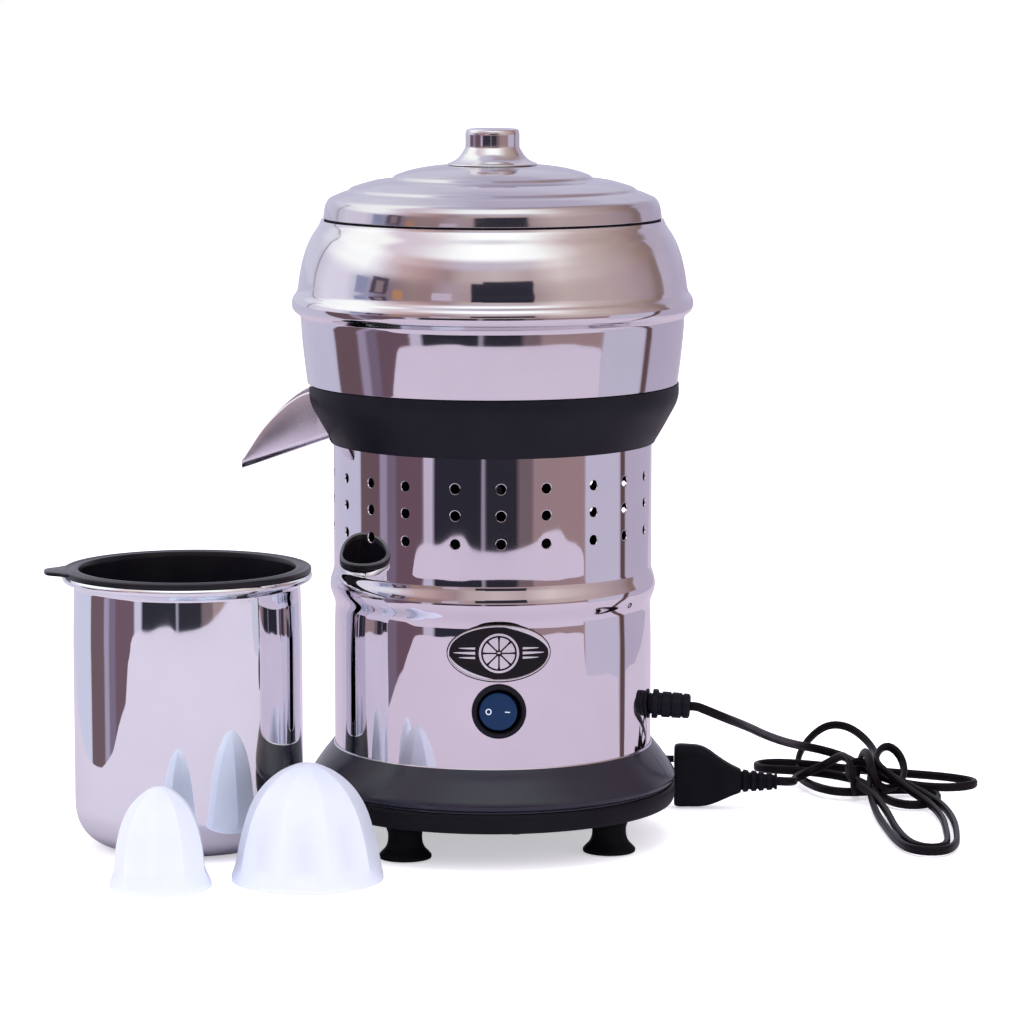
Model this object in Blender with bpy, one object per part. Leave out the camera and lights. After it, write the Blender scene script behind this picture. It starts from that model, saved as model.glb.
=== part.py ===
"""Electric citrus juicer with its loose pieces.

Machine: motor housing on a moulded base with suction feet, a black collar, a
spun bowl with a spout, and a lid with a knob. Loose pieces: a steel jug with a
strainer on it, two reamers, and a mains cord folded into a hank with its plug.

Lengths are in millimetres until a mesh is made, which is in metres. Every
shape is drawn about the machine's own vertical axis, and one empty carries the
whole set to the row's origin. The machine's front, with the switch, faces -Y.
"""

import math

import bmesh
import bpy
from mathutils import Matrix, Vector

MM = 0.001

# The origin is the middle of the set's footprint, on the surface it stands on.
AXIS_X, AXIS_Y = 69.4, 22.4

# Machine heights
TOTAL_H = 400.0
LID_TOP = 379.7
BOWL_RIM = 349.4
COLLAR_TOP = 258.0
HOUSING_TOP = 224.9
HOUSING_BOTTOM = 46.3
SKIRT_TOP = 54.0
COVER_TOP = 31.2
COVER_BOTTOM = 20.3
# Machine radii
BEAD_R = 112.3
COLLAR_R = 104.5
HOUSING_R = 89.5
HOUSING_WALL = 1.0
BASE_R = 103.5
FOOT_PITCH_R = 81.0
SCREW_PITCH_R = 87.0
# Vents: seven groups of three holes, in three rows
VENT_GROUPS = 7
VENT_STEP = 16.2
VENT_CELL = 8.1
VENT_R = 2.6
VENT_ROWS = (178.2, 193.6, 208.4)
# Motor
STATOR_R = 54.5
FLANGE_R = 62.0
STATOR_LOW, STATOR_HIGH = 92.2, 142.0
SHAFT_R = 5.0
SHAFT_TOP = 290.0
# Switch
SWITCH_Z = 86.4
SWITCH_PIVOT = 88.0
ROCKER_TILT = 9.0
# Cord outlet and spout, as bearings from the front, anticlockwise seen from above
GLAND_BEARING = 82.0
GLAND_Z = 76.6
GLAND_DROOP = 0.06
SPOUT_BEARING = -94.0
# Loose pieces, from the machine's axis
JUG_X, JUG_Y = -171.6, -14.8
JUG_R = 64.1
JUG_H = 153.4
LARGE_X, LARGE_Y = -104.7, -114.7
SMALL_X, SMALL_Y = -183.5, -130.4
TAB_BEARING = -84.9 - 90.0
CORD_R = 2.1

N_SHELL = 28
N_MID = 16
N_SMALL = 12
N_FOOT = 10


def clear_scene():
    for obj in list(bpy.data.objects):
        bpy.data.objects.remove(obj, do_unlink=True)


def make_material(name, colour, rough, metal, transmission=0.0):
    made = bpy.data.materials.new(name)
    made.use_nodes = True
    made.diffuse_color = (*colour, 1.0)
    shader = made.node_tree.nodes["Principled BSDF"]
    shader.inputs["Base Color"].default_value = (*colour, 1.0)
    shader.inputs["Roughness"].default_value = rough
    shader.inputs["Metallic"].default_value = metal
    shader.inputs["Transmission Weight"].default_value = transmission
    return made


def make_empty(name, x, y, z, parent=None):
    empty = bpy.data.objects.new(name, None)
    empty.empty_display_size = 0.03
    empty.location = (x * MM, y * MM, z * MM)
    empty.parent = parent
    bpy.context.scene.collection.objects.link(empty)
    return empty


def finish_mesh(name, bm, material, parent, sharp=35.0):
    """Scales a bmesh drawn in millimetres to metres and makes its object."""
    bmesh.ops.remove_doubles(bm, verts=bm.verts, dist=1e-4)
    bmesh.ops.recalc_face_normals(bm, faces=bm.faces)
    bmesh.ops.scale(bm, vec=(MM, MM, MM), verts=bm.verts)
    mesh = bpy.data.meshes.new(name)
    bm.to_mesh(mesh)
    bm.free()
    mesh.shade_smooth()
    mesh.set_sharp_from_angle(angle=math.radians(sharp))
    mesh.materials.append(material)
    obj = bpy.data.objects.new(name, mesh)
    bpy.context.scene.collection.objects.link(obj)
    obj.parent = parent
    return obj


def place_copy(source, name, x, y, z, parent, turn=0.0):
    obj = bpy.data.objects.new(name, source.data)
    bpy.context.scene.collection.objects.link(obj)
    obj.parent = parent
    obj.location = (x * MM, y * MM, z * MM)
    obj.rotation_euler = (0.0, 0.0, math.radians(turn))
    return obj


def spun_bmesh(profile, steps):
    """Spins a closed (radius, height) outline once round Z."""
    bm = bmesh.new()
    verts = [bm.verts.new((r, 0.0, z)) for r, z in profile]
    edges = [
        bm.edges.new((verts[i], verts[(i + 1) % len(verts)]))
        for i in range(len(verts))
        if not (profile[i][0] == 0.0 and profile[(i + 1) % len(verts)][0] == 0.0)
    ]
    bmesh.ops.spin(
        bm,
        geom=verts + edges,
        cent=(0, 0, 0),
        axis=(0, 0, 1),
        angle=2 * math.pi,
        steps=steps,
        use_merge=True,
    )
    return bm


def turned(name, profile, steps, material, parent, at=(0.0, 0.0, 0.0)):
    obj = finish_mesh(name, spun_bmesh(profile, steps), material, parent)
    obj.location = Vector(at) * MM
    return obj


def bearing_vector(bearing):
    """Unit vector on the floor plan: 0 is the front, 90 is to the right."""
    a = math.radians(bearing)
    return Vector((math.sin(a), -math.cos(a), 0.0))


def turned_along(name, profile, steps, material, parent, direction, origin):
    """A turned piece whose axis runs along any direction from an origin."""
    bm = spun_bmesh(profile, steps)
    turn = direction.normalized().to_track_quat("Z", "Y").to_matrix().to_4x4()
    bmesh.ops.transform(bm, matrix=Matrix.Translation(origin) @ turn, verts=bm.verts)
    return finish_mesh(name, bm, material, parent)


def prism_bmesh(outline, low, high):
    """Extrudes a plan outline between two heights."""
    bm = bmesh.new()
    base = bm.faces.new([bm.verts.new((x, y, low)) for x, y in outline])
    grown = bmesh.ops.extrude_face_region(bm, geom=[base])
    moved = [g for g in grown["geom"] if isinstance(g, bmesh.types.BMVert)]
    bmesh.ops.translate(bm, vec=(0, 0, high - low), verts=moved)
    return bm


def cutter(name, bm, parent):
    """A hidden helper for a Boolean, with its faces pointing out."""
    bmesh.ops.recalc_face_normals(bm, faces=bm.faces)
    bmesh.ops.scale(bm, vec=(MM, MM, MM), verts=bm.verts)
    mesh = bpy.data.meshes.new(name)
    bm.to_mesh(mesh)
    bm.free()
    obj = bpy.data.objects.new(name, mesh)
    bpy.context.scene.collection.objects.link(obj)
    obj.parent = parent
    obj.hide_render = True
    obj.display_type = "WIRE"
    return obj


def boolean(obj, other, operation="DIFFERENCE"):
    modifier = obj.modifiers.new(other.name, "BOOLEAN")
    modifier.operation = operation
    modifier.object = other
    modifier.solver = "EXACT"


def rod_bmesh(radius, steps, direction, start, length):
    """A plain cylinder from a start point along a direction."""
    bm = bmesh.new()
    bmesh.ops.create_cone(
        bm, cap_ends=True, segments=steps, radius1=radius, radius2=radius, depth=length
    )
    turn = direction.normalized().to_track_quat("Z", "Y").to_matrix().to_4x4()
    middle = Vector(start) + direction.normalized() * (length / 2)
    bmesh.ops.transform(bm, matrix=Matrix.Translation(middle) @ turn, verts=bm.verts)
    return bm


def smooth_route(points, spacing):
    """Points a set distance apart along a Catmull-Rom curve through a route."""
    route = [Vector(p) for p in points]
    ends = [2 * route[0] - route[1], *route, 2 * route[-1] - route[-2]]
    fine = []
    for i in range(1, len(ends) - 2):
        a, b, c, d = ends[i - 1 : i + 3]
        for k in range(24):
            t = k / 24
            fine.append(
                0.5
                * (
                    2 * b
                    + (c - a) * t
                    + (2 * a - 5 * b + 4 * c - d) * t * t
                    + (3 * b - a - 3 * c + d) * t * t * t
                )
            )
    fine.append(route[-1])
    total = sum((fine[i + 1] - fine[i]).length for i in range(len(fine) - 1))
    count = max(3, round(total / spacing))
    out, done, i = [fine[0]], 0.0, 0
    for k in range(1, count):
        target = total * k / count
        while done + (fine[i + 1] - fine[i]).length < target:
            done += (fine[i + 1] - fine[i]).length
            i += 1
        step = (target - done) / (fine[i + 1] - fine[i]).length
        out.append(fine[i].lerp(fine[i + 1], step))
    out.append(fine[-1])
    return out


def tube(name, points, radius, material, parent):
    curve = bpy.data.curves.new(name, "CURVE")
    curve.dimensions = "3D"
    curve.bevel_depth = radius * MM
    curve.bevel_resolution = 2
    curve.use_fill_caps = True
    spline = curve.splines.new("POLY")
    spline.points.add(len(points) - 1)
    for point, place in zip(spline.points, points):
        point.co = (*(place * MM), 1.0)
    curve.materials.append(material)
    obj = bpy.data.objects.new(name, curve)
    bpy.context.scene.collection.objects.link(obj)
    obj.parent = parent
    return obj


clear_scene()

SPUN = make_material("spun_aluminium", (0.80, 0.78, 0.82), 0.12, 1.0)
STEEL = make_material("polished_steel", (0.74, 0.71, 0.76), 0.08, 1.0)
BLACK = make_material("black_plastic", (0.020, 0.018, 0.022), 0.42, 0.0)
RUBBER = make_material("black_rubber", (0.015, 0.015, 0.017), 0.65, 0.0)
BADGE = make_material("badge_black", (0.012, 0.011, 0.016), 0.22, 0.0)
BLUE = make_material("switch_blue", (0.020, 0.075, 0.170), 0.30, 0.0)
WHITE = make_material("reamer_white", (0.83, 0.85, 0.93), 0.35, 0.0)
CORD = make_material("cord_black", (0.012, 0.010, 0.014), 0.45, 0.0)
BRASS = make_material("pin_brass", (0.62, 0.50, 0.28), 0.30, 1.0)
IRON = make_material("motor_iron", (0.22, 0.22, 0.24), 0.55, 0.9)
COPPER = make_material("copper_winding", (0.55, 0.24, 0.10), 0.45, 0.9)
ZINC = make_material("zinc_steel", (0.52, 0.52, 0.54), 0.35, 1.0)
CREAM = make_material("capacitor_case", (0.70, 0.68, 0.60), 0.45, 0.0)

SET = make_empty("set", AXIS_X, AXIS_Y, 0.0)
SPINDLE = make_empty("spindle_axis", 0, 0, 0, SET)
BOWL = make_empty("bowl_lift", 0, 0, 0, SET)
LID = make_empty("lid_lift", 0, 0, 0, BOWL)
ROCKER = make_empty("rocker_axis", 0, -SWITCH_PIVOT, SWITCH_Z, SET)
JUG = make_empty("jug_slide", JUG_X, JUG_Y, 0, SET)
STRAINER = make_empty("strainer_lift", 0, 0, 0, JUG)
LARGE = make_empty("reamer_large_lift", LARGE_X, LARGE_Y, 0, SET)
SMALL = make_empty("reamer_small_lift", SMALL_X, SMALL_Y, 0, SET)

# ---------------------------------------------------------------- housing


def housing_sheet():
    """The housing's outer skin, with its bead and its vents, as an open sheet."""
    columns = []
    for group in range(VENT_GROUPS):
        middle = group * 360.0 / VENT_GROUPS
        for k in (-1, 0, 1):
            centre = middle + k * VENT_STEP
            columns += [centre - VENT_CELL / 2, centre + VENT_CELL / 2]
    plain = [
        (HOUSING_BOTTOM, HOUSING_R),
        (138.6, HOUSING_R),
        (143.4, HOUSING_R + 1.9),
        (148.4, HOUSING_R + 1.9),
        (153.4, HOUSING_R),
    ]
    edges = [170.2, 186.2, 202.0, HOUSING_TOP]
    rings = plain + [(z, HOUSING_R) for z in edges]
    bm = bmesh.new()
    verts = []
    for z, r in rings:
        row = []
        for c in columns:
            v = bearing_vector(c) * r
            row.append(bm.verts.new((v.x, v.y, z)))
        verts.append(row)
    for j in range(len(rings) - 1):
        for i in range(len(columns)):
            k = (i + 1) % len(columns)
            quad = [verts[j][i], verts[j][k], verts[j + 1][k], verts[j + 1][i]]
            if j < len(plain) or i % 2:
                bm.faces.new(quad)
                continue
            vent_cell(bm, quad, VENT_ROWS[j - len(plain)])
    return bm


def vent_cell(bm, quad, height):
    """Fills one flat cell of the sheet round a six-sided vent."""
    a, b, c, d = (v.co.copy() for v in quad)
    middle = (a + b) / 2
    middle.z = height
    across = (b - a).normalized()
    hole = []
    for k in range(6):
        t = math.radians(60 * k)
        hole.append(
            bm.verts.new(
                middle + across * (VENT_R * math.cos(t)) + Vector((0, 0, VENT_R * math.sin(t)))
            )
        )
    low_a, low_b, top_b, top_a = quad
    bm.faces.new([low_b, top_b, hole[0]])
    bm.faces.new([top_b, hole[1], hole[0]])
    bm.faces.new([top_b, top_a, hole[2], hole[1]])
    bm.faces.new([top_a, hole[3], hole[2]])
    bm.faces.new([top_a, low_a, hole[3]])
    bm.faces.new([low_a, hole[4], hole[3]])
    bm.faces.new([low_a, low_b, hole[5], hole[4]])
    bm.faces.new([low_b, hole[0], hole[5]])


housing = finish_mesh("motor_housing", housing_sheet(), STEEL, SET)
wall = housing.modifiers.new("wall", "SOLIDIFY")
wall.thickness = HOUSING_WALL * MM
wall.offset = -1.0
wall.use_even_offset = True
gland_dir = (bearing_vector(GLAND_BEARING) + Vector((0, 0, -GLAND_DROOP))).normalized()
gland_from = Vector((0, 0, GLAND_Z + GLAND_DROOP * HOUSING_R))
boolean(
    housing,
    cutter("cut_switch", rod_bmesh(13.3, 16, Vector((0, -1, 0)), (0, -80, SWITCH_Z), 20), SET),
)
boolean(
    housing,
    cutter("cut_gland", rod_bmesh(6.5, 12, gland_dir, gland_from + gland_dir * 80, 20), SET),
)

# ---------------------------------------------------------------- collar

collar = turned(
    "collar_tray",
    [
        (COLLAR_R, COLLAR_TOP),
        (COLLAR_R, 250.0),
        (103.2, 246.0),
        (99.2, 238.3),
        (94.4, 229.8),
        (91.2, 225.2),
        (87.6, 225.2),
        (87.6, 214.6),
        (85.4, 214.6),
        (85.4, 219.6),
        (14.0, 219.6),
        (14.0, 212.5),
        (9.6, 212.5),
        (9.6, 232.0),
        (12.4, 232.0),
        (12.4, 222.8),
        (84.5, 222.8),
        (90.7, 230.2),
        (96.1, 239.0),
        (100.4, 246.8),
        (101.6, 251.0),
        (101.6, COLLAR_TOP),
    ],
    N_SHELL,
    BLACK,
    SET,
)
spout_dir = bearing_vector(SPOUT_BEARING)
spout_side = Vector((-spout_dir.y, spout_dir.x, 0.0))


def spout_box(half, near, far, low, high):
    """A box that runs out along the spout's direction."""
    corners = [
        spout_dir * near - spout_side * half,
        spout_dir * far - spout_side * half,
        spout_dir * far + spout_side * half,
        spout_dir * near + spout_side * half,
    ]
    return prism_bmesh([(c.x, c.y) for c in corners], low, high)


boolean(collar, cutter("cut_collar_notch", spout_box(26.5, 70.0, 112.0, 227.2, 270.0), SET))

# ---------------------------------------------------------------- base

turned(
    "base_skirt",
    [
        (91.0, SKIRT_TOP),
        (95.4, 48.6),
        (98.4, 44.2),
        (102.7, 38.0),
        (BASE_R, 36.0),
        (103.2, 33.4),
        (101.3, 32.4),
        (101.3, COVER_TOP + 0.3),
        (98.6, COVER_TOP + 0.3),
        (98.6, 33.0),
        (91.4, 42.6),
        (83.0, 42.6),
        (83.0, 46.0),
        (90.3, 46.0),
        (90.3, SKIRT_TOP),
    ],
    N_SHELL,
    BLACK,
    SET,
)
cover = turned(
    "bottom_cover",
    [
        (102.6, COVER_TOP),
        (BASE_R, 30.0),
        (BASE_R, 21.6),
        (102.2, COVER_BOTTOM),
        (0.0, COVER_BOTTOM),
        (0.0, 22.8),
        (95.6, 22.8),
        (95.6, 32.6),
        (98.0, 32.6),
        (98.0, COVER_TOP),
    ],
    N_SHELL,
    BLACK,
    SET,
)
foot_bearings = [-39.0 + 90.0 * k for k in range(4)]
screw_bearings = [6.0 + 90.0 * k for k in range(4)]
for k, bearing in enumerate(foot_bearings):
    place = bearing_vector(bearing) * FOOT_PITCH_R
    place.z = 15.0
    boolean(
        cover,
        cutter(f"cut_foot_{k + 1}", rod_bmesh(6.4, 12, Vector((0, 0, 1)), place, 15), SET),
    )
for k, bearing in enumerate(screw_bearings):
    place = bearing_vector(bearing) * SCREW_PITCH_R
    place.z = 15.0
    boolean(
        cover,
        cutter(f"cut_screw_{k + 1}", rod_bmesh(2.7, 8, Vector((0, 0, 1)), place, 15), SET),
    )

foot_profile = [
    (0.0, 2.2),
    (9.6, 1.8),
    (11.2, 0.0),
    (14.6, 0.0),
    (14.8, 2.2),
    (11.2, 5.6),
    (9.5, 9.5),
    (9.6, 14.0),
    (11.6, 20.0),
    (5.9, 20.0),
    (5.9, 23.1),
    (8.2, 23.1),
    (5.8, 27.0),
    (0.0, 27.0),
]
first_foot = None
for k, bearing in enumerate(foot_bearings):
    place = bearing_vector(bearing) * FOOT_PITCH_R
    if first_foot is None:
        first_foot = turned(
            "foot_1", foot_profile, N_FOOT, RUBBER, SET, (place.x, place.y, 0.0)
        )
    else:
        place_copy(first_foot, f"foot_{k + 1}", place.x, place.y, 0.0, SET)

screw_profile = [
    (0.0, 17.6),
    (3.6, 17.6),
    (4.0, 20.0),
    (2.2, 20.0),
    (2.2, 42.2),
    (0.0, 42.2),
]
first_screw = None
for k, bearing in enumerate(screw_bearings):
    place = bearing_vector(bearing) * SCREW_PITCH_R
    if first_screw is None:
        first_screw = turned(
            "base_screw_1", screw_profile, 8, ZINC, SET, (place.x, place.y, 0.0)
        )
    else:
        place_copy(first_screw, f"base_screw_{k + 1}", place.x, place.y, 0.0, SET)

# ---------------------------------------------------------------- badge

BADGE_Z, BADGE_HALF_W, BADGE_HALF_H, BADGE_BACK = 118.7, 29.0, 16.25, 90.0


def badge_sheet():
    """An oval bent round the housing, as strips between vertical stations."""
    bm = bmesh.new()
    rows = []
    stations = 12
    for i in range(stations + 1):
        u = -math.cos(math.pi * (0.04 + 0.92 * i / stations))
        across = u * BADGE_HALF_W
        tall = BADGE_HALF_H * math.sqrt(1 - u * u)
        place = bearing_vector(math.degrees(across / BADGE_BACK)) * BADGE_BACK
        rows.append(
            [
                bm.verts.new((place.x, place.y, BADGE_Z - tall)),
                bm.verts.new((place.x, place.y, BADGE_Z + tall)),
            ]
        )
    for a, b in zip(rows, rows[1:]):
        bm.faces.new([a[0], b[0], b[1], a[1]])
    return bm


badge = finish_mesh("badge_plate", badge_sheet(), BADGE, SET)
plate = badge.modifiers.new("plate", "SOLIDIFY")
plate.thickness = 1.0 * MM
plate.offset = 1.0

# ---------------------------------------------------------------- switch

front = Vector((0, -1, 0))
switch_from = Vector((0, 0, SWITCH_Z))
turned_along(
    "switch_bezel",
    [
        (12.0, 74.0),
        (12.0, 91.6),
        (13.0, 92.6),
        (14.3, 92.2),
        (15.0, 91.2),
        (15.0, 89.9),
        (12.8, 89.9),
        (12.8, 74.0),
    ],
    N_MID,
    BLACK,
    SET,
    front,
    switch_from,
)
turned_along(
    "switch_body",
    [
        (0.0, 73.7),
        (12.8, 73.7),
        (12.8, 69.0),
        (9.0, 69.0),
        (9.0, 63.5),
        (0.0, 63.5),
    ],
    N_MID,
    BLACK,
    SET,
    front,
    switch_from,
)


def rocker_bmesh():
    """A round rocker with a shallow V across its face, tilted to one side."""
    radius, corner, back = 10.4, 4.5, -3.0
    slope = math.tan(math.radians(ROCKER_TILT))
    bm = bmesh.new()
    low, high = [], []
    for k in range(N_MID):
        t = 2 * math.pi * k / N_MID + math.pi / 2
        x, z = radius * math.cos(t), radius * math.sin(t)
        low.append(bm.verts.new((x, -back, z)))
        high.append(bm.verts.new((x, -(corner - (radius - abs(x)) * slope), z)))
    for k in range(N_MID):
        n = (k + 1) % N_MID
        bm.faces.new([low[k], low[n], high[n], high[k]])
    bm.faces.new(low)
    half = N_MID // 2
    bm.faces.new(high[: half + 1])
    bm.faces.new(high[half:] + high[:1])
    bmesh.ops.rotate(
        bm,
        cent=(0, 0, 0),
        matrix=Matrix.Rotation(-math.radians(ROCKER_TILT), 3, "Z"),
        verts=bm.verts,
    )
    return bm


finish_mesh("switch_rocker", rocker_bmesh(), BLUE, ROCKER, sharp=8.0)

# ---------------------------------------------------------------- cord outlet

turned_along(
    "cord_gland",
    [
        (0.0, 83.0),
        (8.6, 83.0),
        (8.6, 86.9),
        (5.8, 86.9),
        (5.8, 90.9),
        (8.3, 90.9),
        (8.3, 94.0),
        (7.2, 94.6),
        (7.2, 111.0),
        (6.2, 112.2),
        (0.0, 112.2),
    ],
    N_SMALL,
    BLACK,
    SET,
    gland_dir,
    gland_from,
)

# ---------------------------------------------------------------- motor

turned(
    "motor_bracket",
    [(40.0, 46.3), (87.3, 46.3), (87.3, 48.3), (40.0, 48.3)],
    N_SHELL,
    ZINC,
    SET,
)
turned(
    "lower_end_bell",
    [
        (6.5, 48.6),
        (STATOR_R, 48.6),
        (STATOR_R, 88.9),
        (FLANGE_R, 88.9),
        (FLANGE_R, 91.9),
        (52.0, 91.9),
        (52.0, 51.6),
        (14.5, 51.6),
        (14.5, 60.0),
        (11.3, 60.0),
        (11.3, 51.6),
        (6.5, 51.6),
    ],
    N_MID,
    IRON,
    SET,
)
turned(
    "upper_end_bell",
    [
        (6.5, 176.0),
        (STATOR_R, 176.0),
        (STATOR_R, 145.3),
        (FLANGE_R, 145.3),
        (FLANGE_R, 142.3),
        (52.0, 142.3),
        (52.0, 173.0),
        (14.5, 173.0),
        (14.5, 164.6),
        (11.3, 164.6),
        (11.3, 173.0),
        (6.5, 173.0),
    ],
    N_MID,
    IRON,
    SET,
)
turned(
    "motor_stator",
    [
        (31.5, STATOR_LOW),
        (STATOR_R, STATOR_LOW),
        (STATOR_R, STATOR_HIGH),
        (31.5, STATOR_HIGH),
    ],
    N_MID,
    IRON,
    SET,
)
for name, low, high in (("winding_lower", 73.0, 91.9), ("winding_upper", 161.2, 142.3)):
    turn = 3.5 if high > low else -3.5
    turned(
        name,
        [
            (34.0, low + turn),
            (38.0, low),
            (46.0, low),
            (50.0, low + turn),
            (50.0, high),
            (34.0, high),
        ],
        N_MID,
        COPPER,
        SET,
    )
for name, low in (("bearing_lower", 51.9), ("bearing_upper", 165.7)):
    turned(
        name,
        [(5.6, low), (11.0, low), (11.0, low + 7.0), (5.6, low + 7.0)],
        N_SMALL,
        ZINC,
        SET,
    )
first_rod = None
for k in range(4):
    place = bearing_vector(45.0 + 90.0 * k) * 58.4
    if first_rod is None:
        first_rod = turned(
            "tie_rod_1",
            [(0.0, 92.2), (2.3, 92.2), (2.3, 142.0), (0.0, 142.0)],
            8,
            ZINC,
            SET,
            (place.x, place.y, 0.0),
        )
    else:
        place_copy(first_rod, f"tie_rod_{k + 1}", place.x, place.y, 0.0, SET)

cap_place = bearing_vector(180.0) * 76.0
turned(
    "run_capacitor",
    [(0.0, 48.6), (9.0, 48.6), (9.0, 94.0), (4.0, 96.0), (0.0, 96.0)],
    N_SMALL,
    CREAM,
    SET,
    (cap_place.x, cap_place.y, 0.0),
)
block = prism_bmesh([(-13, -5.5), (13, -5.5), (13, 5.5), (-13, 5.5)], 48.6, 62.0)
bmesh.ops.rotate(
    block,
    cent=(0, 0, 0),
    matrix=Matrix.Rotation(math.radians(110.0), 3, "Z"),
    verts=block.verts,
)
block_place = bearing_vector(110.0) * 74.0
bmesh.ops.translate(block, vec=block_place, verts=block.verts)
finish_mesh("terminal_block", block, CREAM, SET)
turned(
    "shaft_seal",
    [(5.6, 225.0), (9.2, 225.0), (9.2, 230.0), (8.0, 231.0), (5.6, 231.0)],
    N_SMALL,
    RUBBER,
    SET,
)

# ---------------------------------------------------------------- spindle

turned(
    "motor_shaft",
    [
        (0.0, 52.0),
        (SHAFT_R, 52.0),
        (SHAFT_R, SHAFT_TOP - 4.0),
        (3.5, SHAFT_TOP),
        (0.0, SHAFT_TOP),
    ],
    N_SMALL,
    ZINC,
    SPINDLE,
)
turned(
    "motor_rotor",
    [(5.3, 94.0), (30.2, 94.0), (30.2, 140.0), (5.3, 140.0)],
    N_MID,
    IRON,
    SPINDLE,
)
turned(
    "drive_hub",
    [(5.3, 236.0), (11.8, 236.0), (11.8, 254.0), (8.6, 262.0), (5.3, 262.0)],
    N_SMALL,
    BLACK,
    SPINDLE,
)


def fan_bmesh(blades=7, low=181.0, high=192.0):
    """A hub with straight blades: an outline of four points a blade, with a bore."""
    bm = bmesh.new()
    rim, bore = [], []
    for k in range(blades):
        base = 2 * math.pi * k / blades
        for offset, radius in ((-0.17, 13.0), (-0.06, 46.0), (0.0, 46.0), (0.17, 13.0)):
            a = base + offset
            rim.append((radius * math.cos(a), radius * math.sin(a)))
            bore.append((5.3 * math.cos(a), 5.3 * math.sin(a)))
    count = len(rim)
    rings = [
        [bm.verts.new((x, y, z)) for x, y in loop]
        for loop, z in ((rim, low), (rim, high), (bore, high), (bore, low))
    ]
    for j in range(4):
        a, b = rings[j], rings[(j + 1) % 4]
        for i in range(count):
            n = (i + 1) % count
            bm.faces.new([a[i], a[n], b[n], b[i]])
    return bm


finish_mesh("cooling_fan", fan_bmesh(), BLACK, SPINDLE)

# ---------------------------------------------------------------- bowl

bowl_outer = [
    (95.9, BOWL_RIM),
    (97.6, 346.0),
    (100.6, 341.1),
    (104.2, 334.0),
    (106.7, 325.5),
    (108.2, 317.0),
    (109.2, 310.5),
    (BEAD_R, 305.0),
    (BEAD_R, 300.5),
    (108.6, 294.5),
    (106.9, 289.0),
    (105.2, 273.0),
    (103.7, COLLAR_TOP + 0.3),
    (100.4, COLLAR_TOP + 0.3),
    (99.6, 250.0),
    (96.0, 240.5),
    (90.0, 232.0),
    (84.0, 228.3),
    (16.4, 228.3),
]
bowl_inner = [
    (16.4, 229.8),
    (83.4, 229.8),
    (88.8, 233.0),
    (94.5, 241.2),
    (98.2, 251.0),
    (99.6, 259.6),
    (102.2, 262.0),
    (105.2, 289.0),
    (110.6, 302.7),
    (107.0, 313.0),
    (102.9, 333.0),
    (95.0, 347.9),
    (92.6, 347.9),
    (92.6, BOWL_RIM),
]
bowl = turned("juice_bowl", bowl_outer + bowl_inner, N_SHELL, SPUN, BOWL)
boolean(bowl, cutter("cut_bowl_mouth", spout_box(20.0, 70.0, 112.0, 232.0, 251.0), BOWL))
turned(
    "bowl_tube",
    [
        (14.5, 226.4),
        (20.5, 226.4),
        (20.5, 228.0),
        (16.0, 228.0),
        (16.0, 262.0),
        (14.5, 262.0),
    ],
    N_MID,
    SPUN,
    BOWL,
)

SPOUT_WALL = 1.2


def spout_bmesh():
    """A tapered channel, lofted through four U-shaped sections."""
    # distance out, floor height, wall-top height, half width
    sections = [
        (80.0, 231.9, 255.6, 24.3),
        (104.0, 223.3, 253.6, 22.4),
        (124.0, 216.0, 238.0, 19.5),
        (140.0, 210.4, 215.4, 17.0),
    ]
    bm = bmesh.new()
    loops = []
    for out, floor, top, half in sections:
        outline = [
            (-half, top),
            (-half, floor + 4.0),
            (-half + 4.0, floor),
            (half - 4.0, floor),
            (half, floor + 4.0),
            (half, top),
            (half - SPOUT_WALL, top),
            (half - SPOUT_WALL, floor + 4.0 + 0.6),
            (half - 4.0 - 0.5, floor + SPOUT_WALL),
            (-half + 4.0 + 0.5, floor + SPOUT_WALL),
            (-half + SPOUT_WALL, floor + 4.0 + 0.6),
            (-half + SPOUT_WALL, top),
        ]
        loop = []
        for across, z in outline:
            place = spout_dir * out + spout_side * across
            loop.append(bm.verts.new((place.x, place.y, z)))
        loops.append(loop)
    for a, b in zip(loops, loops[1:]):
        for i in range(len(a)):
            n = (i + 1) % len(a)
            bm.faces.new([a[i], a[n], b[n], b[i]])
    bm.faces.new(loops[0])
    bm.faces.new(loops[-1])
    return bm


spout = finish_mesh("spout", spout_bmesh(), SPUN, BOWL)
bowl_shape = [
    (103.7 + 0.4, COLLAR_TOP + 20.0),
    (103.7 + 0.4, COLLAR_TOP - 0.3),
    (100.9, COLLAR_TOP - 0.3),
    (100.1, 249.7),
    (96.5, 240.1),
    (90.4, 231.5),
    (84.1, 227.8),
    (0.0, 227.8),
    (0.0, COLLAR_TOP + 20.0),
]
boolean(spout, cutter("cut_spout_root", spun_bmesh(bowl_shape, N_SHELL), BOWL))

# ---------------------------------------------------------------- lid

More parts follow.
